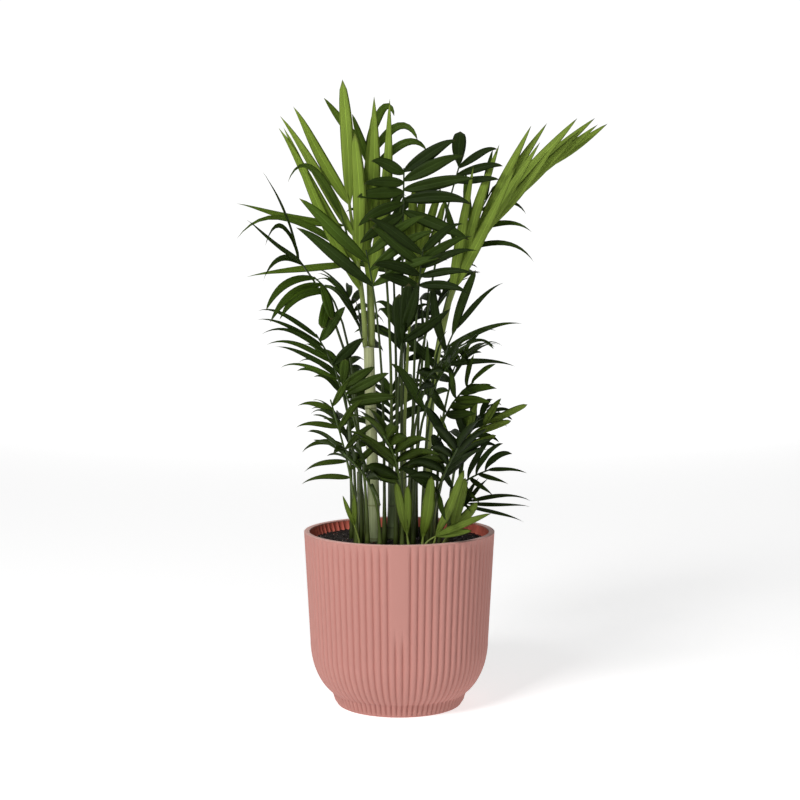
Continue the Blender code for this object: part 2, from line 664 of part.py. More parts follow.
def fused(name, base, blades, scratch, solver):
    whole = add_object(name + "_whole", base, scratch)
    parts = new_collection(name + "_blades")
    for index, blade in enumerate(blades):
        add_object(f"{name}_{index}", blade, parts)
    union = whole.modifiers.new("union", "BOOLEAN")
    union.operation = "UNION"
    union.operand_type = "COLLECTION"
    union.collection = parts
    union.solver = solver
    mesh = evaluated_mesh(whole)
    for thing in (*parts.objects, whole):
        bpy.data.objects.remove(thing)
    bpy.data.collections.remove(parts)
    return mesh


def closed(mesh):
    work = bmesh.new()
    work.from_mesh(mesh)
    good = all(edge.is_manifold for edge in work.edges)
    work.free()
    return good


def make_canes(collection):
    for cane in canes:
        add_object(cane.name, cane_mesh(cane), collection, cane.tone)


def make_fronds(collection, scratch):
    stalk_trees = {frond.name: search_tree([stalk_mesh(frond, leaf_clearance)]) for frond in fronds}
    fixed = [search_tree([cane_mesh(cane, leaf_clearance)]) for cane in canes]
    leaf_trees = []
    for frond in fronds:
        trees = fixed + leaf_trees
        trees += [tree for name, tree in stalk_trees.items() if name != frond.name]
        placed = [clear_leaflet(leaflet, frond.name, trees) for leaflet in leaflets(frond)]
        blades = [leaf_mesh(frond.name, leaflet) for leaflet in placed if leaflet]
        leaf_trees.append(search_tree(blades))
        for solver in ("EXACT", "MANIFOLD"):
            mesh = fused(frond.name, stalk_mesh(frond), [blade.copy() for blade in blades],
                         scratch, solver)
            dropped = keep_outer_shell(mesh)
            if closed(mesh):
                break
        mesh.name = frond.name
        add_object(frond.name, mesh, collection, frond.tone)
        print(frond.name, len(blades), "of", len(placed), "leaflets", solver,
              "dropped", dropped, "faces", len(mesh.polygons))


def main():
    clear_scene()
    collection = new_collection("parlour_palm")
    scratch = new_collection("scratch")
    make_pot(collection)
    make_soil(collection)
    make_canes(collection)
    make_fronds(collection, scratch)
    bpy.data.collections.remove(scratch)


main()
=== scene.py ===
# Parlour palm in a ribbed pot. Metres, +Z up, the camera at -Y, the pot's foot at the origin.
import math
import random
from typing import NamedTuple

import bmesh
import bpy
import numpy as np
from mathutils.bvhtree import BVHTree
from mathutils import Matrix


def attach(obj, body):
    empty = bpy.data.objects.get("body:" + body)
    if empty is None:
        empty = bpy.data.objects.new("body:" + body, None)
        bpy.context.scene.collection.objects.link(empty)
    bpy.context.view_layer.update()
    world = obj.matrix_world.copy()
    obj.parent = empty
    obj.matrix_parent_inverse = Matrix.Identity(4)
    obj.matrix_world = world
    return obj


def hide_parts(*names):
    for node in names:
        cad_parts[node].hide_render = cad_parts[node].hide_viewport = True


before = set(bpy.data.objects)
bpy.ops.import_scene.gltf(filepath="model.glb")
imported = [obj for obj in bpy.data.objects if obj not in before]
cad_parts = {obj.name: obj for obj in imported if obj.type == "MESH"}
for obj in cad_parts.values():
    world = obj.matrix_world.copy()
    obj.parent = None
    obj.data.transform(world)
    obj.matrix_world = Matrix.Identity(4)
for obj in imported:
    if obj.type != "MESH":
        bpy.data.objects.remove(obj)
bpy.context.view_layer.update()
bpy.ops.object.select_all(action="DESELECT")

# Camera, fitted to the ellipses of the pot's rim and foot
cameraView = {"place": (0.0, -1.5, 0.401), "pitch": 4.08, "lens": 70.4, "shiftX": 0.0009}


def makeCamera(view):
    turn = (math.radians(90 - view["pitch"]), 0, 0)
    bpy.ops.object.camera_add(location=view["place"], rotation=turn)
    camera = bpy.context.object
    camera.data.lens = view["lens"]
    camera.data.sensor_width = 36
    camera.data.shift_x = view["shiftX"]
    camera.data.clip_start = 0.05
    bpy.context.scene.camera = camera
    camera.select_set(False)


makeCamera(cameraView)


def mix(a, b, share):
    return a + (b - a) * share


def unit(vector):
    return vector / np.linalg.norm(vector)


def turned(vector, axis, degrees):
    angle = math.radians(degrees)
    along = axis * np.dot(axis, vector) * (1 - math.cos(angle))
    return vector * math.cos(angle) + np.cross(axis, vector) * math.sin(angle) + along


# Materials


class Wire:
    # A shader socket that can be added, multiplied and so on with numbers and other wires.
    def __init__(self, paint, socket):
        self.paint = paint
        self.socket = socket

    def maths(self, operation, first, second):
        return self.paint.node("ShaderNodeMath", {0: first, 1: second}, operation=operation)

    def __add__(self, other):
        return self.maths("ADD", self, other)

    def __radd__(self, other):
        return self.maths("ADD", other, self)

    def __sub__(self, other):
        return self.maths("SUBTRACT", self, other)

    def __rsub__(self, other):
        return self.maths("SUBTRACT", other, self)

    def __mul__(self, other):
        return self.maths("MULTIPLY", self, other)

    def __pow__(self, other):
        return self.maths("POWER", self, other)

    def clamped(self):
        return self.maths("MAXIMUM", self.maths("MINIMUM", self, 1.0), 0.0)

    def distance(self):
        return self.maths("ABSOLUTE", self, 0.0)

    def wave(self):
        return self.maths("SINE", self, 0.0)


class Paint:
    # One material on a Principled shader.
    def __init__(self, name, **values):
        self.material = bpy.data.materials.new(name)
        self.material.use_nodes = True
        self.tree = self.material.node_tree
        self.shader = self.tree.nodes["Principled BSDF"]
        for key, value in values.items():
            socket = key.replace("_", " ").title().replace("Ior", "IOR")
            self.shader.inputs[socket].default_value = value

    def join(self, value, socket):
        if isinstance(value, Wire):
            self.tree.links.new(value.socket, socket)
        else:
            socket.default_value = value

    def node(self, kind, values, out=0, **settings):
        node = self.tree.nodes.new(kind)
        for key, value in settings.items():
            setattr(node, key, value)
        for key, value in values.items():
            self.join(value, node.inputs[key])
        return Wire(self, node.outputs[out])

    def place(self):
        return self.node("ShaderNodeTexCoord", {}, "Object")

    def across(self, axis):
        # A place on a leaf or stalk: X across it and Y along it, both 0 to 1.
        spread = self.node("ShaderNodeTexCoord", {}, "UV")
        return self.node("ShaderNodeSeparateXYZ", {0: spread}, axis)

    def spot(self, axis):
        return self.node("ShaderNodeSeparateXYZ", {0: self.place()}, axis)

    def noise(self, scale, detail=3.0, rough=0.5, vector=None):
        values = {"Vector": vector or self.place(), "Scale": scale}
        values.update({"Detail": detail, "Roughness": rough})
        return self.node("ShaderNodeTexNoise", values, "Fac")

    def streaks(self, across, along):
        # Noise drawn out along Z.
        scale = (across, across, along)
        drawn = self.node("ShaderNodeMapping", {"Vector": self.place(), "Scale": scale})
        return self.noise(1.0, 4.0, 0.6, drawn)

    def blend(self, share, first, second, how="MIX"):
        node = self.tree.nodes.new("ShaderNodeMix")
        node.data_type = "RGBA"
        node.blend_type = how
        for slot, value in ((0, share), (6, first), (7, second)):
            if isinstance(value, tuple):
                value = (*value, 1.0)
            self.join(value, node.inputs[slot])
        return Wire(self, node.outputs[2])

    def colour(self, value):
        value = (*value, 1.0) if isinstance(value, tuple) else value
        self.join(value, self.shader.inputs["Base Color"])

    def roughness(self, value):
        self.join(value, self.shader.inputs["Roughness"])

    def bump(self, height, depth, strength=1.0):
        values = {"Height": height, "Distance": depth, "Strength": strength}
        self.join(self.node("ShaderNodeBump", values), self.shader.inputs["Normal"])

    def glow(self, strength):
        self.shader.inputs["Emission Color"].default_value = (1, 1, 1, 1)
        self.shader.inputs["Emission Strength"].default_value = strength


# Meshes from arrays


def meshPiece(name, verts, faces, materials, uvs, shades=None, smooth=True):
    mesh = bpy.data.meshes.new(name)
    mesh.from_pydata([tuple(vert) for vert in verts], [], faces)
    for material in materials:
        mesh.materials.append(material)
    layer = mesh.uv_layers.new(name="UVMap")
    corners = np.array([corner for face in faces for corner in face])
    layer.data.foreach_set("uv", np.array(uvs)[corners].ravel())
    if shades is not None:
        mesh.polygons.foreach_set("material_index", shades)
    mesh.polygons.foreach_set("use_smooth", [smooth] * len(faces))
    mesh.validate()
    piece = bpy.data.objects.new(name, mesh)
    bpy.context.scene.collection.objects.link(piece)
    return piece


def placed(piece, slot, nodes=()):
    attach(piece, "root")
    if nodes:
        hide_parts(*nodes)
    print("piece", piece.name, len(piece.data.polygons), "faces")


# The plant's rule: canes, fronds, and where each leaflet goes

potHeight = 0.168
soilTop = 0.158
footHeight = 0.1583
paleTop = 0.345
oliveTop = 0.226
darkTop = 0.214
seat = 0.0005
leafRule = {
    "kneePull": 0.25, "stalkTaper": 0.45, "thinnest": 0.0006, "stalkPoints": 9, "pathSteps": 8,
    "thickness": 0.0011, "clearance": 0.0004, "lastShare": 0.995, "sideOffset": 0.25,
    "cupAngle": 12.0, "belly": 0.12, "lengths": (0.93, 1.05), "widths": (0.9, 1.06),
    "droops": (0.7, 1.3), "droopPull": 1.8, "aboveSoil": 0.003, "aboveRim": 0.002,
    "rimReach": 0.078,
}
# stations and shares: the two widest places along a leaflet, and the share of its width there
leafForms = {
    "strap": {"stations": (0.40, 0.82), "shares": (0.97, 0.78), "swing": 2.0,
              "rise": 0.50, "fall": 0.48, "twist": 5.0, "fold": (16.0, 4.0)},
    "blade": {"stations": (0.34, 0.72), "shares": (1.0, 0.76), "swing": 6.0,
              "rise": 0.55, "fall": 0.78, "twist": 22.0, "fold": (38.0, 10.0)},
    "drawn": {"stations": (0.30, 0.66), "shares": (1.0, 0.60), "swing": 3.5,
              "rise": 0.52, "fall": 1.20, "twist": 20.0, "fold": (38.0, 12.0)},
    "blunt": {"stations": (0.45, 0.85), "shares": (0.90, 0.88), "swing": 4.0,
              "rise": 0.75, "fall": 0.38, "twist": 12.0, "fold": (30.0, 6.0)},
    "spire": {"stations": (0.35, 0.75), "shares": (1.0, 0.62), "swing": 2.0,
              "rise": 0.45, "fall": 0.85, "twist": 4.0, "fold": (16.0, 4.0)},
    "loose": {"stations": (0.34, 0.70), "shares": (1.0, 0.70), "swing": 10.0,
              "rise": 0.55, "fall": 0.90, "twist": 30.0, "fold": (38.0, 12.0)},
}


class Cane(NamedTuple):
    name: str
    foot: tuple
    top: tuple
    footRadius: float
    topRadius: float


class Frond(NamedTuple):
    # face: azimuth and elevation of the upper side. left and right: count of leaflets, first and
    # last length, first and last angle, droop, width and form.
    name: str
    foot: tuple
    knee: tuple
    tip: tuple
    bare: float
    face: tuple
    left: tuple
    right: tuple
    tone: str = "dark"
    stalk: float = 0.0016


def evenFrond(name, foot, knee, tip, bare, count, lengths, width, tone="dark", face=(90, 60),
              droop=0.6):
    # A frond with the same leaflets on both sides.
    row = (count, *lengths, 62, 20, droop, width, "loose")
    return Frond(name, foot, knee, tip, bare, face, row, row, tone)


def shoot(name, foot, knee, tip, left, right, form, stalk=0.0016, face=(-90, 5)):
    # Two leaflets on a short stalk. left and right: length, angle, droop and width.
    rows = [(1, length, length, angle, angle, droop, width, form)
            for length, angle, droop, width in (left, right)]
    return Frond(name, foot, knee, tip, 0.8, face, *rows, "bright", stalk)


canes = (
    Cane("cane_pale", (-0.0235, -0.012), (-0.029, -0.008, paleTop), 0.0060, 0.0050),
    Cane("cane_olive", (-0.037, -0.010), (-0.038, -0.012, oliveTop), 0.0036, 0.0026),
    Cane("cane_dark", (-0.0062, 0.006), (-0.0055, 0.008, darkTop), 0.0064, 0.0040),
)

plannedFronds = (
    Frond("frond_young_left", (-0.0325, -0.0105, paleTop + seat), (-0.0391, -0.014, 0.4136),
          (-0.0492, -0.018, 0.497), 0.27, (-90, 5),
          (4, 0.176, 0.093, 16.5, 19, 0.22, 0.011, "spire"),
          (2, 0.1154, 0.0986, 8.6, 0.9, 0.01, 0.0122, "strap"), "bright", 0.0028),
    Frond("frond_side_left", (-0.0332, -0.0053, paleTop + seat), (-0.0429, -0.01, 0.4259),
          (-0.0564, -0.028, 0.4778), 0.39, (-90, 20),
          (2, 0.1097, 0.087, 83.5, 48, 0.12, 0.0078, "drawn"),
          (2, 0.142, 0.09, -26, -13, 0.8, 0.0076, "drawn"), "mid"),
    Frond("frond_spear", (-0.0266, -0.0045, paleTop + seat), (-0.031, 0.002, 0.43),
          (-0.032, 0.004, 0.487), 0.1, (-90, 5),
          (2, 0.135, 0.063, 2, 5, 0.01, 0.0105, "strap"),
          (3, 0.183, 0.07, 8, 5, 0.01, 0.0132, "spire"), "bright", 0.004),
    Frond("frond_top_back", (-0.007, 0.0095, darkTop + seat), (-0.006, 0.018, 0.44),
          (-0.0328, 0.012, 0.5408), 0.85, (-90, 5),
          (2, 0.0449, 0.0718, -12, 41, 0.03, 0.0085, "blade"),
          (3, 0.066, 0.065, 62, 19, 0.9, 0.0085, "blade"), "mid"),
    Frond("frond_top_centre", (0.002, -0.008), (0.003, -0.01, 0.44),
          (0.0044, -0.034, 0.5126), 0.76, (-90, 20),
          (5, 0.052, 0.032, 118, 50, 0.4, 0.0125, "loose"),
          (5, 0.066, 0.058, 100, 36, 0.42, 0.0128, "loose")),
    Frond("frond_upper_right", (0.016, 0.02), (0.022, 0.018, 0.4),
          (0.0576, 0.01, 0.5188), 0.92, (-90, 15),
          (1, 0.034, 0.034, 17, 17, 0.02, 0.015, "blunt"),
          (3, 0.0445, 0.044, 68, 17, 0.47, 0.008, "blade")),
    Frond("frond_behind_right", (0.024, 0.034), (0.032, 0.036, 0.4),
          (0.092, 0.04, 0.5), 0.68, (-90, 40),
          (3, 0.06, 0.046, 30, 22, 0.15, 0.0085, "loose"),
          (4, 0.085, 0.034, 53, 28, 0.9, 0.0064, "drawn")),
    Frond("frond_young_right", (0.026, 0.006), (0.02, 0.002, 0.426),
          (0.1339, 0.034, 0.5187), 0.475, (-90, 5),
          (6, 0.122, 0.088, 9, -2, 0.03, 0.0104, "spire"),
          (6, 0.134, 0.086, 8, 10, 0.03, 0.0104, "spire"), "bright", 0.0036),
    Frond("frond_left_high", (-0.0385, -0.0125, oliveTop + seat), (-0.0764, -0.026, 0.4042),
          (-0.0953, -0.05, 0.4308), 0.84, (-90, 45),
          (2, 0.0747, 0.066, 45, -24, 0.95, 0.0066, "drawn"),
          (2, 0.1142, 0.0895, -41, 19, 0.03, 0.006, "drawn")),
    Frond("frond_left_droop", (-0.036, -0.02), (-0.0414, -0.034, 0.3864),
          (-0.079, -0.046, 0.4115), 0.78, (-90, 45),
          (2, 0.036, 0.038, 103, 139, 0.15, 0.0125, "blunt"),
          (3, 0.064, 0.072, -50, -44, 1.00, 0.0085, "blade")),
    Frond("frond_cross_left", (-0.014, -0.026), (-0.01, -0.034, 0.34),
          (-0.0308, -0.044, 0.4365), 0.8, (-90, 10),
          (2, 0.09, 0.088, 56, 15, 0.22, 0.0118, "blade"),
          (3, 0.066, 0.066, 66, 50, 0.3, 0.01, "blade")),
    Frond("frond_left_mid", (-0.041, -0.024), (-0.0389, -0.03, 0.2999),
          (-0.0774, -0.046, 0.3587), 0.67, (-90, 30),
          (6, 0.066, 0.073, 39, 18, 0.45, 0.0052, "drawn"),
          (2, 0.034, 0.038, 62, 50, 0.2, 0.0115, "blade")),
    Frond("frond_left_low", (-0.04, -0.036), (-0.045, -0.042, 0.23),
          (-0.064, -0.05, 0.298), 0.4, (-90, 30),
          (5, 0.048, 0.036, 66, 44, 0.6, 0.0062, "drawn"),
          (4, 0.046, 0.03, 50, 40, 0.4, 0.007, "blade"), "mid"),
    Frond("frond_right_mid", (0.022, -0.01), (0.028, -0.014, 0.31),
          (0.054, -0.02, 0.366), 0.64, (-90, 5),
          (3, 0.044, 0.072, 70, -8, 0.05, 0.0092, "strap"),
          (3, 0.068, 0.066, 73, -3, 0.34, 0.0064, "drawn")),
    Frond("frond_right_arch", (0.008, -0.022), (0.01, -0.032, 0.33),
          (0.064, -0.056, 0.352), 0.7, (-90, 60),
          (1, 0.03, 0.03, 10, 10, 0.4, 0.005, "drawn"),
          (3, 0.04, 0.058, 70, 28, 0.6, 0.0052, "drawn")),
    Frond("frond_right_bright", (0.032, -0.02), (0.04, -0.026, 0.25),
          (0.088, -0.038, 0.278), 0.52, (-90, 15),
          (3, 0.04, 0.028, 60, 10, 0.1, 0.0078, "blade"),
          (3, 0.038, 0.042, 34, -2, 0.12, 0.0066, "strap"), "bright"),
    Frond("frond_right_low", (0.038, -0.032), (0.044, -0.04, 0.218),
          (0.084, -0.062, 0.234), 0.5, (-90, 45),
          (5, 0.044, 0.034, 70, 4, 0.3, 0.0088, "blade"),
          (5, 0.036, 0.05, 80, 8, 0.35, 0.0052, "drawn")),
    Frond("frond_right_fan", (0.046, -0.016), (0.05, -0.018, 0.185),
          (0.067, -0.026, 0.2), 0.8, (-90, 10),
          (3, 0.03, 0.034, 40, 5, 0.1, 0.0048, "drawn"),
          (3, 0.058, 0.062, 42, 16, 0.3, 0.0046, "drawn"), "dark", 0.0011),
    Frond("frond_front_high", (-0.003, -0.034), (-0.002, -0.04, 0.32),
          (0.004, -0.066, 0.366), 0.8, (-90, 0),
          (2, 0.055, 0.055, 7, 3, 0.03, 0.0135, "blunt"),
          (2, 0.062, 0.056, 49, -3, 0.08, 0.0115, "blade")),
    Frond("frond_front_mid", (0.013, -0.038), (0.016, -0.048, 0.3),
          (0.046, -0.098, 0.334), 0.55, (-75, 55),
          (6, 0.056, 0.052, 52, 12, 0.4, 0.012, "loose"),
          (6, 0.048, 0.046, 82, 36, 0.5, 0.0115, "loose")),
    Frond("frond_front_low", (0.003, -0.048), (0.006, -0.058, 0.236),
          (-0.014, -0.108, 0.27), 0.42, (-105, 60),
          (6, 0.05, 0.044, 78, 30, 0.45, 0.0122, "loose"),
          (6, 0.052, 0.05, 46, 8, 0.35, 0.0122, "loose"), "mid"),
    Frond("frond_front_left", (-0.018, -0.04), (-0.02, -0.052, 0.222),
          (-0.05, -0.092, 0.252), 0.5, (-110, 55),
          (6, 0.048, 0.045, 60, 10, 0.45, 0.0112, "loose"),
          (5, 0.05, 0.046, 76, 30, 0.45, 0.0118, "loose"), "mid"),
    Frond("frond_front_right", (0.03, -0.048), (0.036, -0.062, 0.222),
          (0.052, -0.106, 0.258), 0.42, (-70, 55),
          (6, 0.05, 0.046, 64, 20, 0.3, 0.0112, "loose"),
          (6, 0.046, 0.044, 70, 30, 0.5, 0.0108, "loose")),
    evenFrond("frond_back_high", (-0.002, 0.026), (-0.004, 0.036, 0.42),
              (-0.01, 0.104, 0.48), 0.62, 7, (0.06, 0.054), 0.0095, droop=0.55),
    evenFrond("frond_back_left", (-0.022, 0.024), (-0.026, 0.034, 0.35),
              (-0.054, 0.108, 0.392), 0.6, 7, (0.056, 0.052), 0.0092),
    evenFrond("frond_back_right", (0.01, 0.04), (0.014, 0.05, 0.36),
              (0.05, 0.12, 0.402), 0.6, 7, (0.056, 0.052), 0.0092),
    evenFrond("frond_back_low_left", (-0.034, 0.022), (-0.038, 0.034, 0.24),
              (-0.064, 0.098, 0.268), 0.5, 6, (0.046, 0.044), 0.0085, "mid"),
    evenFrond("frond_back_low_right", (0.036, 0.03), (0.042, 0.042, 0.236),
              (0.08, 0.1, 0.262), 0.5, 6, (0.048, 0.046), 0.0085),
    evenFrond("frond_back_low", (-0.01, 0.046), (-0.01, 0.058, 0.262),
              (-0.008, 0.126, 0.294), 0.55, 6, (0.052, 0.05), 0.0092, face=(90, 65)),
    Frond("frond_centre_upper", (0.012, -0.02), (0.013, -0.026, 0.372),
          (0.022, -0.052, 0.438), 0.76, (-90, 20),
          (4, 0.036, 0.068, 74, 42, 0.35, 0.0112, "blade"),
          (5, 0.054, 0.054, 80, 22, 0.55, 0.0092, "drawn")),
    Frond("frond_right_inner", (0.026, -0.036), (0.03, -0.042, 0.286),
          (0.068, -0.074, 0.316), 0.6, (-90, 45),
          (3, 0.044, 0.03, 70, 22, 0.3, 0.01, "loose"),
          (6, 0.046, 0.046, 58, 14, 0.2, 0.0092, "loose"), "mid"),
    evenFrond("frond_right_behind", (0.048, 0.012), (0.052, 0.016, 0.25),
              (0.084, 0.04, 0.276), 0.55, 5, (0.036, 0.034), 0.0072, face=(-90, 60)),
    Frond("frond_left_inner", (-0.03, -0.036), (-0.0397, -0.038, 0.2779),
          (-0.0533, -0.046, 0.3122), 0.74, (-90, 20),
          (1, 0.028, 0.028, -27, -27, 0.02, 0.0115, "blunt"),
          (3, 0.044, 0.034, 98, 62, 0.15, 0.0115, "blade"), "mid"),
    evenFrond("frond_back_mid", (0.006, 0.054), (0.006, 0.064, 0.33),
              (0.004, 0.128, 0.37), 0.6, 6, (0.052, 0.05), 0.0095),
    Frond("frond_back_young", (0.004, 0.03), (0.008, 0.034, 0.38),
          (0.02, 0.056, 0.442), 0.7, (90, 5),
          (4, 0.084, 0.076, 14, 5, 0.05, 0.0085, "strap"),
          (4, 0.08, 0.074, 12, 6, 0.05, 0.0085, "strap"), "bright", 0.002),
    evenFrond("frond_back_side_right", (0.036, 0.018), (0.04, 0.028, 0.305),
              (0.068, 0.092, 0.336), 0.6, 6, (0.05, 0.048), 0.0092),
    evenFrond("frond_back_side_left", (-0.046, 0.006), (-0.048, 0.016, 0.295),
              (-0.062, 0.084, 0.325), 0.6, 6, (0.05, 0.048), 0.0092),
    shoot("shoot_left", (-0.037, -0.05), (-0.039, -0.05, 0.17), (-0.042, -0.05, 0.18),
          (0.034, 8, 0.02, 0.005), (0.034, 10, 0.02, 0.005), "blade", 0.0012),
    shoot("shoot_centre", (0.009, -0.062), (0.008, -0.061, 0.166), (0.007, -0.06, 0.174),
          (0.05, 4, 0.02, 0.0085), (0.044, 8, 0.02, 0.0085), "strap"),
    shoot("shoot_broad", (0.021, -0.06), (0.022, -0.06, 0.165), (0.022, -0.06, 0.171),
          (0.06, 2, 0.02, 0.011), (0.064, 6, 0.02, 0.011), "strap", 0.0018),
    shoot("shoot_right", (0.031, -0.068), (0.032, -0.068, 0.165), (0.034, -0.068, 0.173),
          (0.072, 0, 0.05, 0.008), (0.06, 9, 0.05, 0.008), "strap"),
    shoot("shoot_wide", (0.04, -0.058), (0.044, -0.058, 0.169), (0.05, -0.058, 0.18),
          (0.056, 2, 0.05, 0.012), (0.034, 14, 0.05, 0.009), "strap", 0.0015),
    shoot("shoot_flat", (0.022, -0.076), (0.023, -0.076, 0.169), (0.034, -0.075, 0.174),
          (0.056, -9, 0.05, 0.0075), (0.034, 20, 0.1, 0.0075), "blade", 0.0012, face=(-90, 30)),
)


# A foot with no height of its own stands in the soil
fronds = [frond if len(frond.foot) == 3 else frond._replace(foot=(*frond.foot, footHeight))
          for frond in plannedFronds]


def stalkPlace(frond, share):
    foot, knee, tip = (np.array(place) for place in (frond.foot, frond.knee, frond.tip))
    low = np.array((foot[0], foot[1], mix(knee[2], foot[2], leafRule["kneePull"])))
    high = mix(knee, tip, leafRule["kneePull"])
    rest = 1 - share
    return (foot * rest**3 + 3 * low * rest**2 * share
            + 3 * high * rest * share**2 + tip * share**3)


def chordPlace(frond, share):
    spans = leafRule["stalkPoints"] - 1
    slot = min(share * spans, spans - 0.001)
    low = int(slot)
    ends = [stalkPlace(frond, point / spans) for point in (low, low + 1)]
    return mix(ends[0], ends[1], slot - low)


def stalkRadius(frond, share):
    thin = max(frond.stalk * leafRule["stalkTaper"], leafRule["thinnest"])
    return mix(frond.stalk, thin, share)


def stalkAxes(frond, share):
    azimuth, elevation = (math.radians(angle) for angle in frond.face)
    face = np.array((math.cos(azimuth) * math.cos(elevation),
                     math.sin(azimuth) * math.cos(elevation), math.sin(elevation)))
    along = unit(stalkPlace(frond, share + 0.01) - stalkPlace(frond, share - 0.01))
    upper = unit(face - along * np.dot(face, along))
    return along, upper, np.cross(along, upper)


class Leaflet(NamedTuple):
    root: np.ndarray
    heading: np.ndarray
    upper: np.ndarray
    length: float
    width: float
    droop: float
    form: str
    along: np.ndarray


def leaflets(frond):
    dice = random.Random(frond.name)
    rule = leafRule
    for side, row in ((-1, frond.left), (1, frond.right)):
        count, firstLength, lastLength, firstAngle, lastAngle, sag, breadth, form = row
        for index in range(count):
            order = (index + 0.5) / count if count > 1 else 1.0
            rank = order if side < 0 else min(1.0, order + rule["sideOffset"] / count)
            share = mix(frond.bare, rule["lastShare"], rank)
            along, upper, across = stalkAxes(frond, share)
            swing = leafForms[form]["swing"]
            angle = math.radians(mix(firstAngle, lastAngle, order) + dice.uniform(-swing, swing))
            lift = math.radians(rule["cupAngle"] + dice.uniform(-swing, swing))
            level = along * math.cos(angle) + across * side * math.sin(angle)
            heading = unit(level * math.cos(lift) + upper * math.sin(lift))
            belly = 1 + rule["belly"] * math.sin(math.pi * order)
            length = mix(firstLength, lastLength, order) * belly
            length *= dice.uniform(*rule["lengths"])
            width = breadth * dice.uniform(*rule["widths"])
            droop = sag * dice.uniform(*rule["droops"])
            yield Leaflet(chordPlace(frond, share), heading, upper, length, width, droop,
                          form, along)


def leafletPath(leaflet, steps):
    places = [leaflet.root]
    headings = [leaflet.heading]
    down = np.array((0.0, 0.0, -1.0))
    for step in range(steps):
        way = (step + 0.5) / steps
        heading = unit(leaflet.heading + down * leaflet.droop * leafRule["droopPull"] * way**2)
        places.append(places[-1] + heading * leaflet.length / steps)
        headings.append(heading)
    return places, headings


def tubeShell(places, radii, sides):
    # Rings round a path, the ends closed with a point.
    verts = []
    guide = np.array((0.0, -1.0, 0.0))
    for index, place in enumerate(places):
        along = unit(places[min(index + 1, len(places) - 1)] - places[max(index - 1, 0)])
        side = unit(np.cross(along, guide))
        other = np.cross(along, side)
        for corner in range(sides):
            turn = math.tau * corner / sides
            verts.append(place + (side * math.cos(turn) + other * math.sin(turn)) * radii[index])
    faces = []
    for ring in range(len(places) - 1):
        for corner in range(sides):
            after = (corner + 1) % sides
            low, high = ring * sides, (ring + 1) * sides
            faces.append((low + corner, high + corner, high + after, low + after))
    faces.append(tuple(range(sides)))
    faces.append(tuple(reversed(range(len(verts) - sides, len(verts)))))
    return verts, faces


def bladeShell(leaflet, extra=0.0):
    # The blade that keeps a leaflet's space clear: a point, two diamond sections and a point.
    steps = leafRule["pathSteps"]
    places, headings = leafletPath(leaflet, steps)
    rows = []
    form = leafForms[leaflet.form]
    for station, share in ((0.0, 0.0), *zip(form["stations"], form["shares"]), (1.0, 0.0)):
        slot = station * steps
        low = min(int(slot), steps - 1)
        place = mix(places[low], places[low + 1], slot - low)
        heading = headings[min(low + 1, steps)]
        across = unit(np.cross(heading, leaflet.upper))
        normal = np.cross(across, heading)
        if share == 0.0:
            rows.append([place + heading * extra * (1 if station else 0)])
            continue
        half = across * (leaflet.width * share / 2 + extra)
        thick = normal * (leafRule["thickness"] * (0.5 + share / 2) / 2 + extra)
        rows.append([place + half, place + thick, place - half, place - thick])
    verts = [place for row in rows for place in row]
    faces = []
    for side in range(4):
        after = (side + 1) % 4
        faces += [(0, 1 + side, 1 + after), (1 + side, 5 + side, 5 + after),
                  (1 + side, 5 + after, 1 + after), (5 + side, 9, 5 + after)]
    return verts, faces


def searchTree(shells):
    verts = []
    faces = []
    for places, sides in shells:
        start = len(verts)
        verts += [tuple(place) for place in places]
        faces += [[start + corner for corner in side] for side in sides]
    return BVHTree.FromPolygons(verts, faces)


def inPot(leaflet):
    places, _ = leafletPath(leaflet, leafRule["pathSteps"])
    for place in places[2:]:
        reach = math.hypot(place[0], place[1])
        low = place[2] - leaflet.width / 2
        if low < soilTop + leafRule["aboveSoil"]:
            return True
        if low < potHeight + leafRule["aboveRim"] and reach > leafRule["rimReach"]:
            return True
    return False


def nudged(leaflet, spread, lift, shrink):
    heading = turned(leaflet.heading, leaflet.upper, spread)
    side = unit(np.cross(leaflet.heading, leaflet.upper))
    heading = turned(heading, side, lift)
    return leaflet._replace(heading=heading, length=leaflet.length * shrink)


# Tried in turn for a leaflet in another's way: degrees aside, degrees up and share of length
nudges = ((0, 0, 1.0), (8, 0, 1.0), (-8, 0, 1.0), (0, 9, 1.0), (0, -9, 1.0), (14, 7, 0.95),
          (-14, 7, 0.95), (14, -7, 0.95), (-14, -7, 0.95), (0, 20, 0.9), (0, -20, 0.9),
          (24, 8, 0.8), (-24, 8, 0.8), (10, 30, 0.75), (-10, -30, 0.75))


def clearLeaflet(leaflet, trees):
    for spread, lift, shrink in nudges:
        trial = nudged(leaflet, spread, lift, shrink)
        if inPot(trial):
            continue
        tree = searchTree([bladeShell(trial, leafRule["clearance"])])
        if not any(tree.overlap(other) for other in trees):
            return trial
    return None


def stalkShell(frond, extra):
    shares = [step / (leafRule["stalkPoints"] - 1) for step in range(leafRule["stalkPoints"])]
    return tubeShell([stalkPlace(frond, share) for share in shares],
                     [stalkRadius(frond, share) + extra for share in shares], 4)


def caneShell(cane, extra):
    shares = [step / 4 for step in range(5)]
    foot, top = np.array((*cane.foot, footHeight)), np.array(cane.top)
    return tubeShell([mix(foot, top, share) for share in shares],
                     [mix(cane.footRadius, cane.topRadius, share) + extra for share in shares], 8)


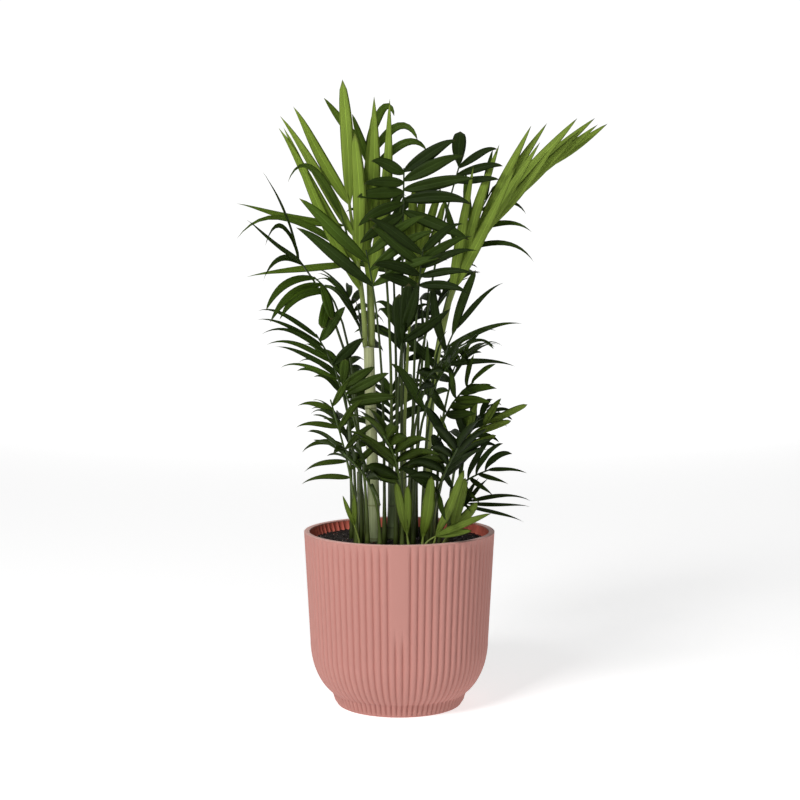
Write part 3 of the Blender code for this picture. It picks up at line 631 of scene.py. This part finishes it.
def growFronds():
    # Every frond's leaflets, each kept out of the soil and off the rim, and clear of the canes, the
    # other fronds' stalks and the leaflets of the fronds before it.
    clearance = leafRule["clearance"]
    stalkTrees = {frond.name: searchTree([stalkShell(frond, clearance)]) for frond in fronds}
    fixed = [searchTree([caneShell(cane, clearance)]) for cane in canes]
    leafTrees = []
    kept = {}
    for frond in fronds:
        trees = fixed + leafTrees
        trees += [tree for name, tree in stalkTrees.items() if name != frond.name]
        found = [clearLeaflet(leaflet, trees) for leaflet in leaflets(frond)]
        kept[frond.name] = [leaflet for leaflet in found if leaflet]
        leafTrees.append(searchTree([bladeShell(leaflet) for leaflet in kept[frond.name]]))
    print("fronds", len(kept), "leaflets", sum(len(found) for found in kept.values()))
    return kept


grown = growFronds()

# Leaves

leafLook = {
    "steps": 13, "across": (-1.0, -0.5, 0.0, 0.5, 1.0), "baseWidth": 0.2, "baseReach": 0.2,
    "thickness": 0.00024, "arch": 0.08, "foldReach": 0.45, "twistPower": 1.5,
    "sweep": 0.035, "sweeps": (0.2, 1.6), "sweepPower": 1.2,
    "wave": 0.0003, "waves": 9, "lift": 0.0011, "liftGain": 3,
}


def leafWidth(way, form):
    rise, fall = leafForms[form]["rise"], leafForms[form]["fall"]
    peak = rise / (rise + fall)
    full = (way / peak) ** rise * ((1 - way) / (1 - peak)) ** fall
    if way < leafLook["baseReach"]:
        full = max(full, leafLook["baseWidth"] * (1 - way / leafLook["baseReach"]))
    return full


def leafSkin(leaflet, dice):
    # At each station the places across the upper side and one under the midrib, a point at the tip.
    look = leafLook
    form = leafForms[leaflet.form]
    steps = look["steps"]
    ring = len(look["across"]) + 1
    pairs = [(corner, (corner + 1) % ring) for corner in range(ring)]
    places, headings = leafletPath(leaflet, steps)
    back = -leaflet.along + leaflet.heading * np.dot(leaflet.along, leaflet.heading)
    back = unit(back) if np.linalg.norm(back) > 0.05 else back * 0
    sweep = back * leaflet.length * look["sweep"] * dice.uniform(*look["sweeps"])
    twist = form["twist"] * dice.uniform(-1, 1)
    phase = dice.uniform(0, math.tau)
    lifted = leaflet.upper * look["lift"] * dice.uniform(-1, 1)
    verts, uvs, faces = [], [], []
    for step in range(steps):
        way = step / steps
        heading = headings[step]
        across = unit(np.cross(heading, leaflet.upper))
        across = turned(across, heading, twist * way ** look["twistPower"])
        normal = np.cross(across, heading)
        centre = places[step] + sweep * math.sin(math.pi * way) ** look["sweepPower"]
        centre += lifted * min(1.0, way * look["liftGain"])
        half = leaflet.width / 2 * leafWidth(way, leaflet.form)
        fold = math.radians(mix(*form["fold"], min(1.0, way / look["foldReach"])))
        for u in look["across"]:
            out = abs(u)
            lift = half * (out * math.sin(fold) + look["arch"] * 4 * out * (1 - out))
            ripple = look["wave"] * out * math.sin(phase + way * look["waves"] + u)
            verts.append(centre + across * u * half * math.cos(fold) + normal * (lift + ripple))
            uvs.append(((u + 1) / 2, way))
        verts.append(centre - normal * look["thickness"] * (2 - way))
        uvs.append((0.5, way))
        if step:
            low, high = (step - 1) * ring, step * ring
            for first, second in pairs:
                faces.append((low + first, high + first, high + second, low + second))
    verts.append(places[-1])
    uvs.append((0.5, 1.0))
    low = (steps - 1) * ring
    for first, second in pairs:
        faces.append((low + first, low + ring, low + second))
    faces.append(tuple(reversed(range(ring))))
    return verts, uvs, faces


def gathered(skins):
    verts, uvs, faces, shades = [], [], [], []
    for places, spots, sides, shade in skins:
        start = len(verts)
        verts += list(places)
        uvs += list(spots)
        faces += [tuple(start + corner for corner in side) for side in sides]
        shades += [shade] * len(sides)
    return verts, uvs, faces, shades


def shaded(colour, share):
    return tuple(channel * share for channel in colour)


def leafMaterial(name, tone, settings):
    # Parallel veins, a paler midrib and slow changes of green; the upper side has a soft sheen.
    paint = Paint(name, specular_ior_level=settings["gloss"])
    across = paint.across("X")
    length = paint.across("Y")
    veins = ((across * settings["veins"]).wave() * 0.5 + 0.5) ** 2
    rib = (1 - (across - 0.5).distance() * settings["ribSharp"]).clamped()
    cloud = paint.noise(settings["cloud"], 2.0)
    pale = tuple(min(1.0, channel * lift) for channel, lift in zip(tone, settings["lift"]))
    midrib = tuple(min(1, channel * settings["ribPale"] + 0.01) for channel in tone)
    body = paint.blend(cloud, shaded(tone, settings["deep"]), pale)
    veined = paint.blend(veins * settings["veinShare"], body, pale)
    ribbed = paint.blend(rib * settings["ribShare"], veined, midrib)
    tip = ((length - settings["tipFrom"]) * settings["tipSharp"]).clamped()
    tipped = paint.blend(tip * settings["tipShare"], ribbed, settings["tip"])
    # Painted shade and light: the leaves are darker lower down, where shade falls under the crown,
    # and lighter on the left, the side the key light comes from.
    height = ((paint.spot("Z") - settings["lowest"]) * (1 / settings["rise"])).clamped()
    left = ((paint.spot("X") * -1 - settings["paintedLightFrom"]) * (1 / settings["paintedLightOver"])).clamped()
    paintedShading = (height * (1 - settings["low"]) + settings["low"]) * (left * (settings["left"] - 1) + 1)
    paint.colour(paint.blend(1.0, tipped, paintedShading, "MULTIPLY"))
    paint.roughness(settings["rough"] + cloud * settings["patchy"])
    paint.bump(veins + rib * 1.5, settings["relief"], 0.6)
    return paint.material


# Per tone, low is the share of its colour that the lowest leaves keep (painted shade), and left is
# how much lighter the leaves on the left are painted (painted light).
leafTones = {
    "dark": {"shades": ((0.013, 0.027, 0.002), (0.021, 0.042, 0.003), (0.035, 0.067, 0.005)),
             "deep": 0.65, "lift": (1.5, 1.4, 1.3), "gloss": 0.13,
             "low": 0.80, "left": 1.9},
    "mid": {"shades": ((0.044, 0.084, 0.007), (0.058, 0.106, 0.009), (0.078, 0.136, 0.012)),
            "deep": 0.65, "lift": (1.4, 1.3, 1.3), "gloss": 0.13,
            "low": 0.45, "left": 1.2},
    "bright": {"shades": ((0.168, 0.262, 0.026), (0.192, 0.292, 0.034)),
               "deep": 0.82, "lift": (1.3, 1.2, 1.4), "gloss": 0.15,
               "low": 0.62, "left": 1.1},
}
leafFinish = {
    # The first four values place the painted shade and light: the height below which the shade is
    # full and the rise over which it fades, then how far left the light starts and over what width
    # it grows.
    "lowest": 0.26, "rise": 0.16, "paintedLightFrom": 0.045, "paintedLightOver": 0.03,
    "rough": 0.46, "patchy": 0.12,
    "veins": 56.0, "veinShare": 0.35, "ribSharp": 16.0, "ribShare": 0.6, "ribPale": 1.9,
    "cloud": 45.0, "relief": 0.00025,
    "tipFrom": 0.93, "tipSharp": 14, "tipShare": 0.5, "tip": (0.16, 0.12, 0.05),
    "sameShade": 0.7,
}


def makeLeaves():
    for tone, settings in leafTones.items():
        skins = []
        nodes = []
        for frond in fronds:
            if frond.tone != tone:
                continue
            nodes.append(frond.name)
            dice = random.Random(frond.name + " skin")
            frondShade = dice.randrange(len(settings["shades"]))
            for leaflet in grown[frond.name]:
                same = dice.random() < leafFinish["sameShade"]
                shade = frondShade if same else dice.randrange(len(settings["shades"]))
                skins.append((*leafSkin(leaflet, dice), shade))
        verts, uvs, faces, shades = gathered(skins)
        materials = [leafMaterial(f"leaf {tone} {index}", colour, {**leafFinish, **settings})
                     for index, colour in enumerate(settings["shades"])]
        piece = meshPiece(f"leaves_{tone}", verts, faces, materials, uvs, shades)
        placed(piece, f"leaf_{tone}", nodes)


makeLeaves()

# Stalks

stalkLook = {"points": 33, "sides": 8, "sheath": 0.14, "flare": 0.8, "seated": -0.15}
stalkTones = {
    "dark": {"foot": (0.070, 0.095, 0.018), "top": (0.026, 0.050, 0.006)},
    "mid": {"foot": (0.105, 0.140, 0.028), "top": (0.052, 0.095, 0.011)},
    "bright": {"foot": (0.290, 0.350, 0.110), "top": (0.180, 0.250, 0.030)},
}


def stalkMaterial(name, settings):
    paint = Paint(name, roughness=0.45, specular_ior_level=0.4)
    length = paint.across("Y")
    streaks = paint.streaks(900.0, 30.0)
    body = paint.blend(length, settings["foot"], settings["top"])
    paint.colour(paint.blend(streaks * 0.5, body, settings["top"]))
    paint.bump(streaks, 0.0001, 0.5)
    return paint.material


def makeStalks():
    sides = stalkLook["sides"]
    shares = [step / (stalkLook["points"] - 1) for step in range(stalkLook["points"])]
    uvs = [(corner / sides, share) for share in shares for corner in range(sides)]
    for tone, settings in stalkTones.items():
        skins = []
        for frond in fronds:
            if frond.tone != tone:
                continue
            radii = []
            for share in shares:
                flare = max(0.0, 1 - share / stalkLook["sheath"]) ** 1.5
                flare *= stalkLook["flare"] if frond.foot[2] == footHeight else stalkLook["seated"]
                radii.append(stalkRadius(frond, share) * (1 + flare))
            verts, faces = tubeShell([chordPlace(frond, share) for share in shares], radii, sides)
            skins.append((verts, uvs, faces, 0))
        verts, spots, faces, _ = gathered(skins)
        material = stalkMaterial(f"stalk {tone}", settings)
        placed(meshPiece(f"stalks_{tone}", verts, faces, [material], spots), f"leaf_{tone}")


makeStalks()

# Rings that rise along a centre line, extruded and scaled one after another


def risingRings(name, columns, rows):
    bpy.ops.object.select_all(action="DESELECT")
    place, radius = rows[0]
    bpy.ops.mesh.primitive_circle_add(vertices=columns, radius=radius, location=place)
    piece = bpy.context.object
    piece.name = piece.data.name = name
    bpy.ops.object.transform_apply(location=True, rotation=True, scale=True)
    bpy.ops.object.mode_set(mode="EDIT")
    bpy.ops.mesh.select_all(action="SELECT")
    for (before, first), (after, second) in zip(rows, rows[1:]):
        move = tuple(b - a for a, b in zip(before, after))
        bpy.ops.mesh.extrude_region_move(TRANSFORM_OT_translate={"value": move})
        bpy.ops.transform.resize(value=(second / first, second / first, 1), center_override=after)
    bpy.ops.object.mode_set(mode="OBJECT")
    return piece


def closedAndSmooth(piece, material):
    bpy.context.view_layer.objects.active = piece
    bpy.ops.object.mode_set(mode="EDIT")
    bpy.ops.mesh.select_all(action="DESELECT")
    bpy.ops.mesh.select_mode(type="EDGE")
    bpy.ops.mesh.select_non_manifold(extend=False)
    bpy.ops.mesh.fill_holes(sides=0)
    bpy.ops.mesh.select_all(action="SELECT")
    bpy.ops.mesh.normals_make_consistent(inside=False)
    bpy.ops.object.mode_set(mode="OBJECT")
    bpy.ops.object.shade_smooth()
    piece.data.materials.append(material)
    piece.select_set(False)


# Canes

caneLook = {
    "columns": 20, "step": 0.0025, "ringWidth": 0.002, "ringRise": 0.0004, "neckLength": 0.006,
    "neckDepth": 0.0003, "lowEnd": 0.16, "lowSharp": 9, "ringSharp": 900,
    "cane_pale": {"slot": "cane_pale", "rings": (0.162, 0.194, 0.231, 0.250, 0.287),
                  "colour": (0.64, 0.68, 0.36), "low": (0.40, 0.47, 0.24),
                  "ring": (0.16, 0.20, 0.06)},
    "cane_olive": {"slot": "cane_olive", "rings": (0.176, 0.205),
                   "colour": (0.085, 0.125, 0.035), "low": (0.14, 0.17, 0.06),
                   "ring": (0.05, 0.06, 0.02)},
    "cane_dark": {"slot": "cane_olive", "rings": (0.170, 0.191),
                  "colour": (0.065, 0.110, 0.030), "low": (0.12, 0.16, 0.06),
                  "ring": (0.04, 0.05, 0.02)},
}


def caneMaterial(name, settings):
    paint = Paint(name, specular_ior_level=0.4)
    height = paint.spot("Z")
    streaks = paint.streaks(700.0, 25.0)
    rise = ((height - caneLook["lowEnd"]) * caneLook["lowSharp"]).clamped()
    body = paint.blend(rise, settings["low"], settings["colour"])
    body = paint.blend(((streaks - 0.38) * 2.2).clamped() * 0.65, body, settings["ring"])
    near = [(1 - (height - ring).distance() * caneLook["ringSharp"]).clamped()
            for ring in settings["rings"]]
    rings = sum(near[1:], near[0])
    paint.colour(paint.blend(rings.clamped() * 0.8, body, settings["ring"]))
    paint.roughness(0.38 + streaks * 0.2)
    paint.bump(streaks, 0.00015, 0.5)
    return paint.material


def makeCane(cane):
    # Each ring stands out a little, over a slight waist.
    look = caneLook
    settings = look[cane.name]
    foot, top = np.array((*cane.foot, footHeight)), np.array(cane.top)
    count = int((top[2] - foot[2]) / look["step"])
    rows = []
    for index in range(count + 1):
        share = index / count
        place = mix(foot, top, share)
        radius = mix(cane.footRadius, cane.topRadius, share)
        for ring in settings["rings"]:
            off = (place[2] - ring) / look["ringWidth"]
            radius += look["ringRise"] * math.exp(-off * off)
            below = abs(place[2] - ring + look["neckLength"]) / look["neckLength"]
            radius -= look["neckDepth"] * max(0.0, 1 - below)
        rows.append((tuple(place), radius))
    piece = risingRings("stem_" + cane.name, look["columns"], rows)
    closedAndSmooth(piece, caneMaterial(cane.name, settings))
    placed(piece, settings["slot"], [cane.name])


for cane in canes:
    makeCane(cane)

# Pot

potLook = {
    "ribs": 79, "perRib": 10, "depth": 0.0023, "sharp": 2.5, "crisp": 1.6,
    "panelRibs": 1.25, "panelFoot": 0.085, "panelFade": 0.012,
    "ribTop": 0.1668, "rimRadius": 0.092, "rimEdge": 0.0009, "rimLip": 0.0046,
    "wall": 0.0030, "shoulderRadius": 0.0862, "shoulderHeight": 0.062, "roundWidth": 0.036,
    "roundDrop": 0.055, "shoulderTurn": 61.0, "neckRadius": 0.0652, "neckHeight": 0.0124,
    "footRadius": 0.0605, "footFlare": 0.0025, "footRise": 0.0045, "footEdge": 0.0006,
    "floor": 0.0040, "floorRadius": 0.0565, "middle": 0.02,
    # outer is the plastic's own colour; inner is the same plastic in a more saturated red, painted
    # bounce light inside the pot; the third colour, a paler pink for the rim's top, is a painted
    # highlight.
    "outer": (0.555, 0.262, 0.226), "inner": (0.84, 0.205, 0.145), "lip": (0.86, 0.50, 0.44),
    # lowShade and lowRise give painted shade: the pot darkens towards its foot.
    "lowShade": 0.86, "lowRise": 0.05,
}


def potProfile():
    # Radius, height and share of rib depth, from the middle of the floor up the inside and down
    # the outside.
    look = potLook
    wall = look["wall"]
    top = look["rimRadius"] - look["rimEdge"] - look["rimLip"]
    rows = [(look["middle"], look["floor"], 0), (look["floorRadius"], look["floor"], 0)]
    turns = [math.radians(look["shoulderTurn"] * step / 12) for step in range(13)]
    for turn in reversed(turns):
        rows.append((look["shoulderRadius"] - wall - look["roundWidth"] * (1 - math.cos(turn)),
                     look["shoulderHeight"] - (look["roundDrop"] - wall) * math.sin(turn), 1))
    walls = [step / 14 for step in range(1, 15)]
    for share in walls:
        height = mix(look["shoulderHeight"], look["ribTop"], share)
        rows.append((mix(look["shoulderRadius"] - wall, top, share), height, 1 if share < 1 else 0))
    rim = look["rimEdge"]
    for turn in (0, 30, 60, 90):
        angle = math.radians(turn)
        rows.append((top + rim * (1 - math.cos(angle)), potHeight - rim + rim * math.sin(angle), 0))
    for turn in (90, 60, 30, 0):
        angle = math.radians(turn)
        rows.append((look["rimRadius"] - rim + rim * math.cos(angle),
                     potHeight - rim + rim * math.sin(angle), 0))
    for share in reversed([0.0] + walls):
        height = mix(look["shoulderHeight"], look["ribTop"], share)
        radius = mix(look["shoulderRadius"], look["rimRadius"] - 0.0001, share)
        rows.append((radius, height, 1 if share < 1 else 0))
    for turn in turns[1:]:
        rows.append((look["shoulderRadius"] - look["roundWidth"] * (1 - math.cos(turn)),
                     look["shoulderHeight"] - look["roundDrop"] * math.sin(turn), 1))
    rows += [(look["neckRadius"] + 0.0006, look["neckHeight"] + 0.0002, 1),
             (look["neckRadius"], look["neckHeight"] - 0.0012, 1),
             (look["neckRadius"] - 0.0012, 0.0080, 1),
             (look["footRadius"] + look["footFlare"], look["footRise"], 1),
             (look["footRadius"] + 0.0008, 0.0020, 0.5), (look["footRadius"], look["footEdge"], 0),
             (look["footRadius"] - look["footEdge"], 0.0, 0), (look["middle"], 0.0, 0)]
    return rows


def ribTurn(azimuth):
    # Columns drawn together towards each groove, so that it is crisp.
    spot = azimuth / math.tau * potLook["ribs"]
    phase = (spot - round(spot)) * 2
    close = math.copysign(1 - (1 - abs(phase)) ** potLook["crisp"], phase)
    return (round(spot) + close / 2) / potLook["ribs"] * math.tau


def ribDrop(azimuth, height, share):
    # How far the surface lies inward: nothing on a rib's crest, the full depth in a groove. The
    # front panel stays smooth down to its foot.
    look = potLook
    spot = (azimuth / math.tau * look["ribs"]) % 1.0
    phase = abs(spot - round(spot)) * 2
    away = abs((azimuth + math.pi) % math.tau - math.pi) / math.tau * look["ribs"]
    fade = 1.0
    if away < look["panelRibs"]:
        fade = min(1.0, max(0.0, (look["panelFoot"] - height) / look["panelFade"]))
    return look["depth"] * share * fade * phase ** look["sharp"]


def potMaterial(name, colour):
    paint = Paint(name, specular_ior_level=0.14)
    cloud = paint.noise(14.0, 3.0)
    fine = paint.noise(2600.0, 2.0, 0.6)
    body = paint.blend(cloud, shaded(colour, 0.96), shaded(colour, 1.03))
    grained = paint.blend(fine * 0.10, body, shaded(colour, 0.8))
    # Painted shade: darker towards the foot, down to lowShade of the colour at the bottom.
    height = (paint.spot("Z") * (1 / potLook["lowRise"])).clamped()
    paintedShading = height * (1 - potLook["lowShade"]) + potLook["lowShade"]
    paint.colour(paint.blend(1.0, grained, paintedShading, "MULTIPLY"))
    paint.roughness(0.50 + fine * 0.12)
    paint.bump(fine, 0.00008, 0.35)
    return paint.material


def rowShare(rows, radius, height):
    near = min(rows, key=lambda row: abs(row[0] - radius) + abs(row[1] - height))
    return near[2]


def makePot():
    rows = potProfile()
    columns = potLook["ribs"] * potLook["perRib"]
    rings = [((0, 0, height), radius) for radius, height, _ in rows]
    piece = risingRings("ribbed_pot", columns, rings)
    mesh = piece.data
    places = np.empty(len(mesh.vertices) * 3)
    mesh.vertices.foreach_get("co", places)
    places = places.reshape(-1, 3)
    for place in places:
        radius = math.hypot(place[0], place[1])
        azimuth = ribTurn(math.atan2(place[0], -place[1]))
        share = rowShare(rows, radius, place[2])
        radius -= ribDrop(azimuth, place[2], share)
        place[:2] = radius * math.sin(azimuth), -radius * math.cos(azimuth)
    mesh.vertices.foreach_set("co", places.ravel())
    closedAndSmooth(piece, potMaterial("ribbed pot", potLook["outer"]))
    # The inside is the same plastic in a more saturated red: painted bounce light.
    mesh.materials.append(potMaterial("pot inside", potLook["inner"]))
    # The rim's top gets a paler pink than the plastic: a painted highlight.
    mesh.materials.append(potMaterial("pot lip", potLook["lip"]))
    for face in mesh.polygons:
        x, y, z = face.center
        # Upward faces at the rim's top take the painted highlight colour.
        if z > potHeight - potLook["rimEdge"] and face.normal.z > 0.6:
            face.material_index = 2
        # Faces turned inwards and the inner floor take the inside's painted bounce colour.
        outward = face.normal.x * x + face.normal.y * y
        onFloor = math.hypot(x, y) < 0.06 and z > 0.002
        if z < potHeight - 0.0025 and (outward < -1e-5 or onFloor):
            face.material_index = 1
    placed(piece, "pot_plastic", ["pot"])


makePot()

# Soil

soilLook = {"seed": 7, "reach": 0.0838, "sunk": 0.0004, "heave": 0.0012, "corner": 3.8}
soilLumps = {
    "soil_crumbs": {"count": 5200, "small": 0.0010, "large": 0.0030, "lift": 0.0, "flat": 1.0,
                    "colour": (0.011, 0.008, 0.007), "pale": (0.035, 0.026, 0.021), "rough": 0.75},
    "soil_specks": {"count": 420, "small": 0.0005, "large": 0.0013, "lift": 0.0006, "flat": 1.0,
                    "colour": (0.42, 0.37, 0.32), "pale": (0.25, 0.21, 0.18), "rough": 0.7},
    "soil_chips": {"count": 60, "small": 0.0020, "large": 0.0050, "lift": 0.0004, "flat": 0.4,
                   "colour": (0.16, 0.045, 0.028), "pale": (0.08, 0.03, 0.02), "rough": 0.7},
}


def soilMaterial(name, settings):
    paint = Paint(name, specular_ior_level=0.4)
    grain = paint.noise(900.0, 4.0, 0.7)
    paint.colour(paint.blend(grain, settings["colour"], settings["pale"]))
    paint.roughness(settings["rough"] + grain * 0.1)
    paint.bump(grain, 0.0006, 0.8)
    return paint.material


def lumpCorners():
    golden = (1 + 5**0.5) / 2
    corners = [(a, b * golden, 0) for a in (-1, 1) for b in (-1, 1)]
    corners += [(0, a, b * golden) for a in (-1, 1) for b in (-1, 1)]
    return corners + [(b * golden, 0, a) for a in (-1, 1) for b in (-1, 1)]


def lumpFaces():
    work = bmesh.new()
    verts = [work.verts.new(corner) for corner in lumpCorners()]
    bmesh.ops.convex_hull(work, input=verts)
    work.normal_update()
    work.verts.index_update()
    faces = [tuple(vert.index for vert in face.verts) for face in work.faces]
    work.free()
    return faces


def lumpVerts(place, size, dice, flat):
    # A lump of twelve corners, squashed and turned at random.
    stretch = [dice.uniform(0.6, 1.3), dice.uniform(0.6, 1.3), dice.uniform(0.5, 1.0) * flat]
    turn = dice.uniform(0, math.tau)
    cos, sin = math.cos(turn), math.sin(turn)
    spin = np.array(((cos, -sin, 0), (sin, cos, 0), (0, 0, 1)))
    verts = []
    for corner in lumpCorners():
        lump = np.array(corner) * stretch * dice.uniform(0.75, 1.1) * size / soilLook["corner"]
        verts.append(place + spin @ lump)
    return verts


def scatter(name, settings, material, dice, faces):
    skins = []
    for _ in range(settings["count"]):
        reach = soilLook["reach"] * math.sqrt(dice.random())
        turn = dice.uniform(0, math.tau)
        size = mix(settings["small"], settings["large"], dice.random() ** 2)
        height = soilTop - soilLook["sunk"] + settings["lift"] + dice.uniform(0, soilLook["heave"])
        place = np.array((reach * math.cos(turn), reach * math.sin(turn), height))
        verts = lumpVerts(place, size, dice, settings["flat"])
        skins.append((verts, [(0.5, 0.5)] * len(verts), faces, 0))
    verts, uvs, sides, _ = gathered(skins)
    placed(meshPiece(name, verts, sides, [material], uvs, smooth=False), "soil")


def makeSoil():
    dice = random.Random(soilLook["seed"])
    faces = lumpFaces()
    materials = []
    for name, settings in soilLumps.items():
        materials.append(soilMaterial(name.replace("_", " "), settings))
        scatter(name, settings, materials[-1], dice, faces)
    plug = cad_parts["soil"]
    for spot in plug.material_slots:
        spot.material = materials[0]
    if not plug.material_slots:
        plug.data.materials.append(materials[0])


makeSoil()

# Floor, backdrop and light

studio = {
    "floor": {"size": 4.4, "place": (0, 0.8, 0), "turn": 0, "colour": (0.75, 0.75, 0.75),
              "rough": 0.9, "glow": 0.68},
    "backdrop": {"size": 2.5, "place": (0, 3.0, 0.75), "turn": 90, "colour": (0.0, 0.0, 0.0),
                 "rough": 1.0, "glow": 1.05},
    "key": {"place": (-1.1, -1.7, 1.7), "size": 0.7, "power": 38.0},
    "fill": {"place": (0.3, -2.2, 0.6), "size": 1.2, "power": 3.5},
    "aim": (0.0, 0.0, 0.25), "world": 0.13,
}


def glowingPlane(name):
    settings = studio[name]
    size, place, turn = settings["size"], settings["place"], math.radians(settings["turn"])
    bpy.ops.mesh.primitive_plane_add(size=size, location=place, rotation=(turn, 0, 0))
    plane = bpy.context.object
    plane.name = name
    paint = Paint(name, roughness=settings["rough"], specular_ior_level=0.0)
    paint.colour(settings["colour"])
    paint.glow(settings["glow"])
    plane.data.materials.append(paint.material)
    return plane


def makeLight(name):
    settings = studio[name]
    aim = np.array(studio["aim"]) - np.array(settings["place"])
    flat = math.hypot(aim[0], aim[1])
    turn = (math.atan2(flat, -aim[2]), 0.0, math.atan2(aim[1], aim[0]) - math.pi / 2)
    bpy.ops.object.light_add(type="AREA", location=settings["place"], rotation=turn)
    light = bpy.context.object
    light.name = name
    light.data.size = settings["size"]
    light.data.energy = settings["power"]


def makeStudio():
    glowingPlane("floor")
    glowingPlane("backdrop")
    world = bpy.data.worlds.new("studio")
    bpy.context.scene.world = world
    world.use_nodes = True
    background = world.node_tree.nodes["Background"]
    background.inputs["Color"].default_value = (1, 1, 1, 1)
    background.inputs["Strength"].default_value = studio["world"]
    makeLight("key")
    makeLight("fill")
    bpy.context.scene.view_settings.view_transform = "Standard"
    print("studio")


makeStudio()
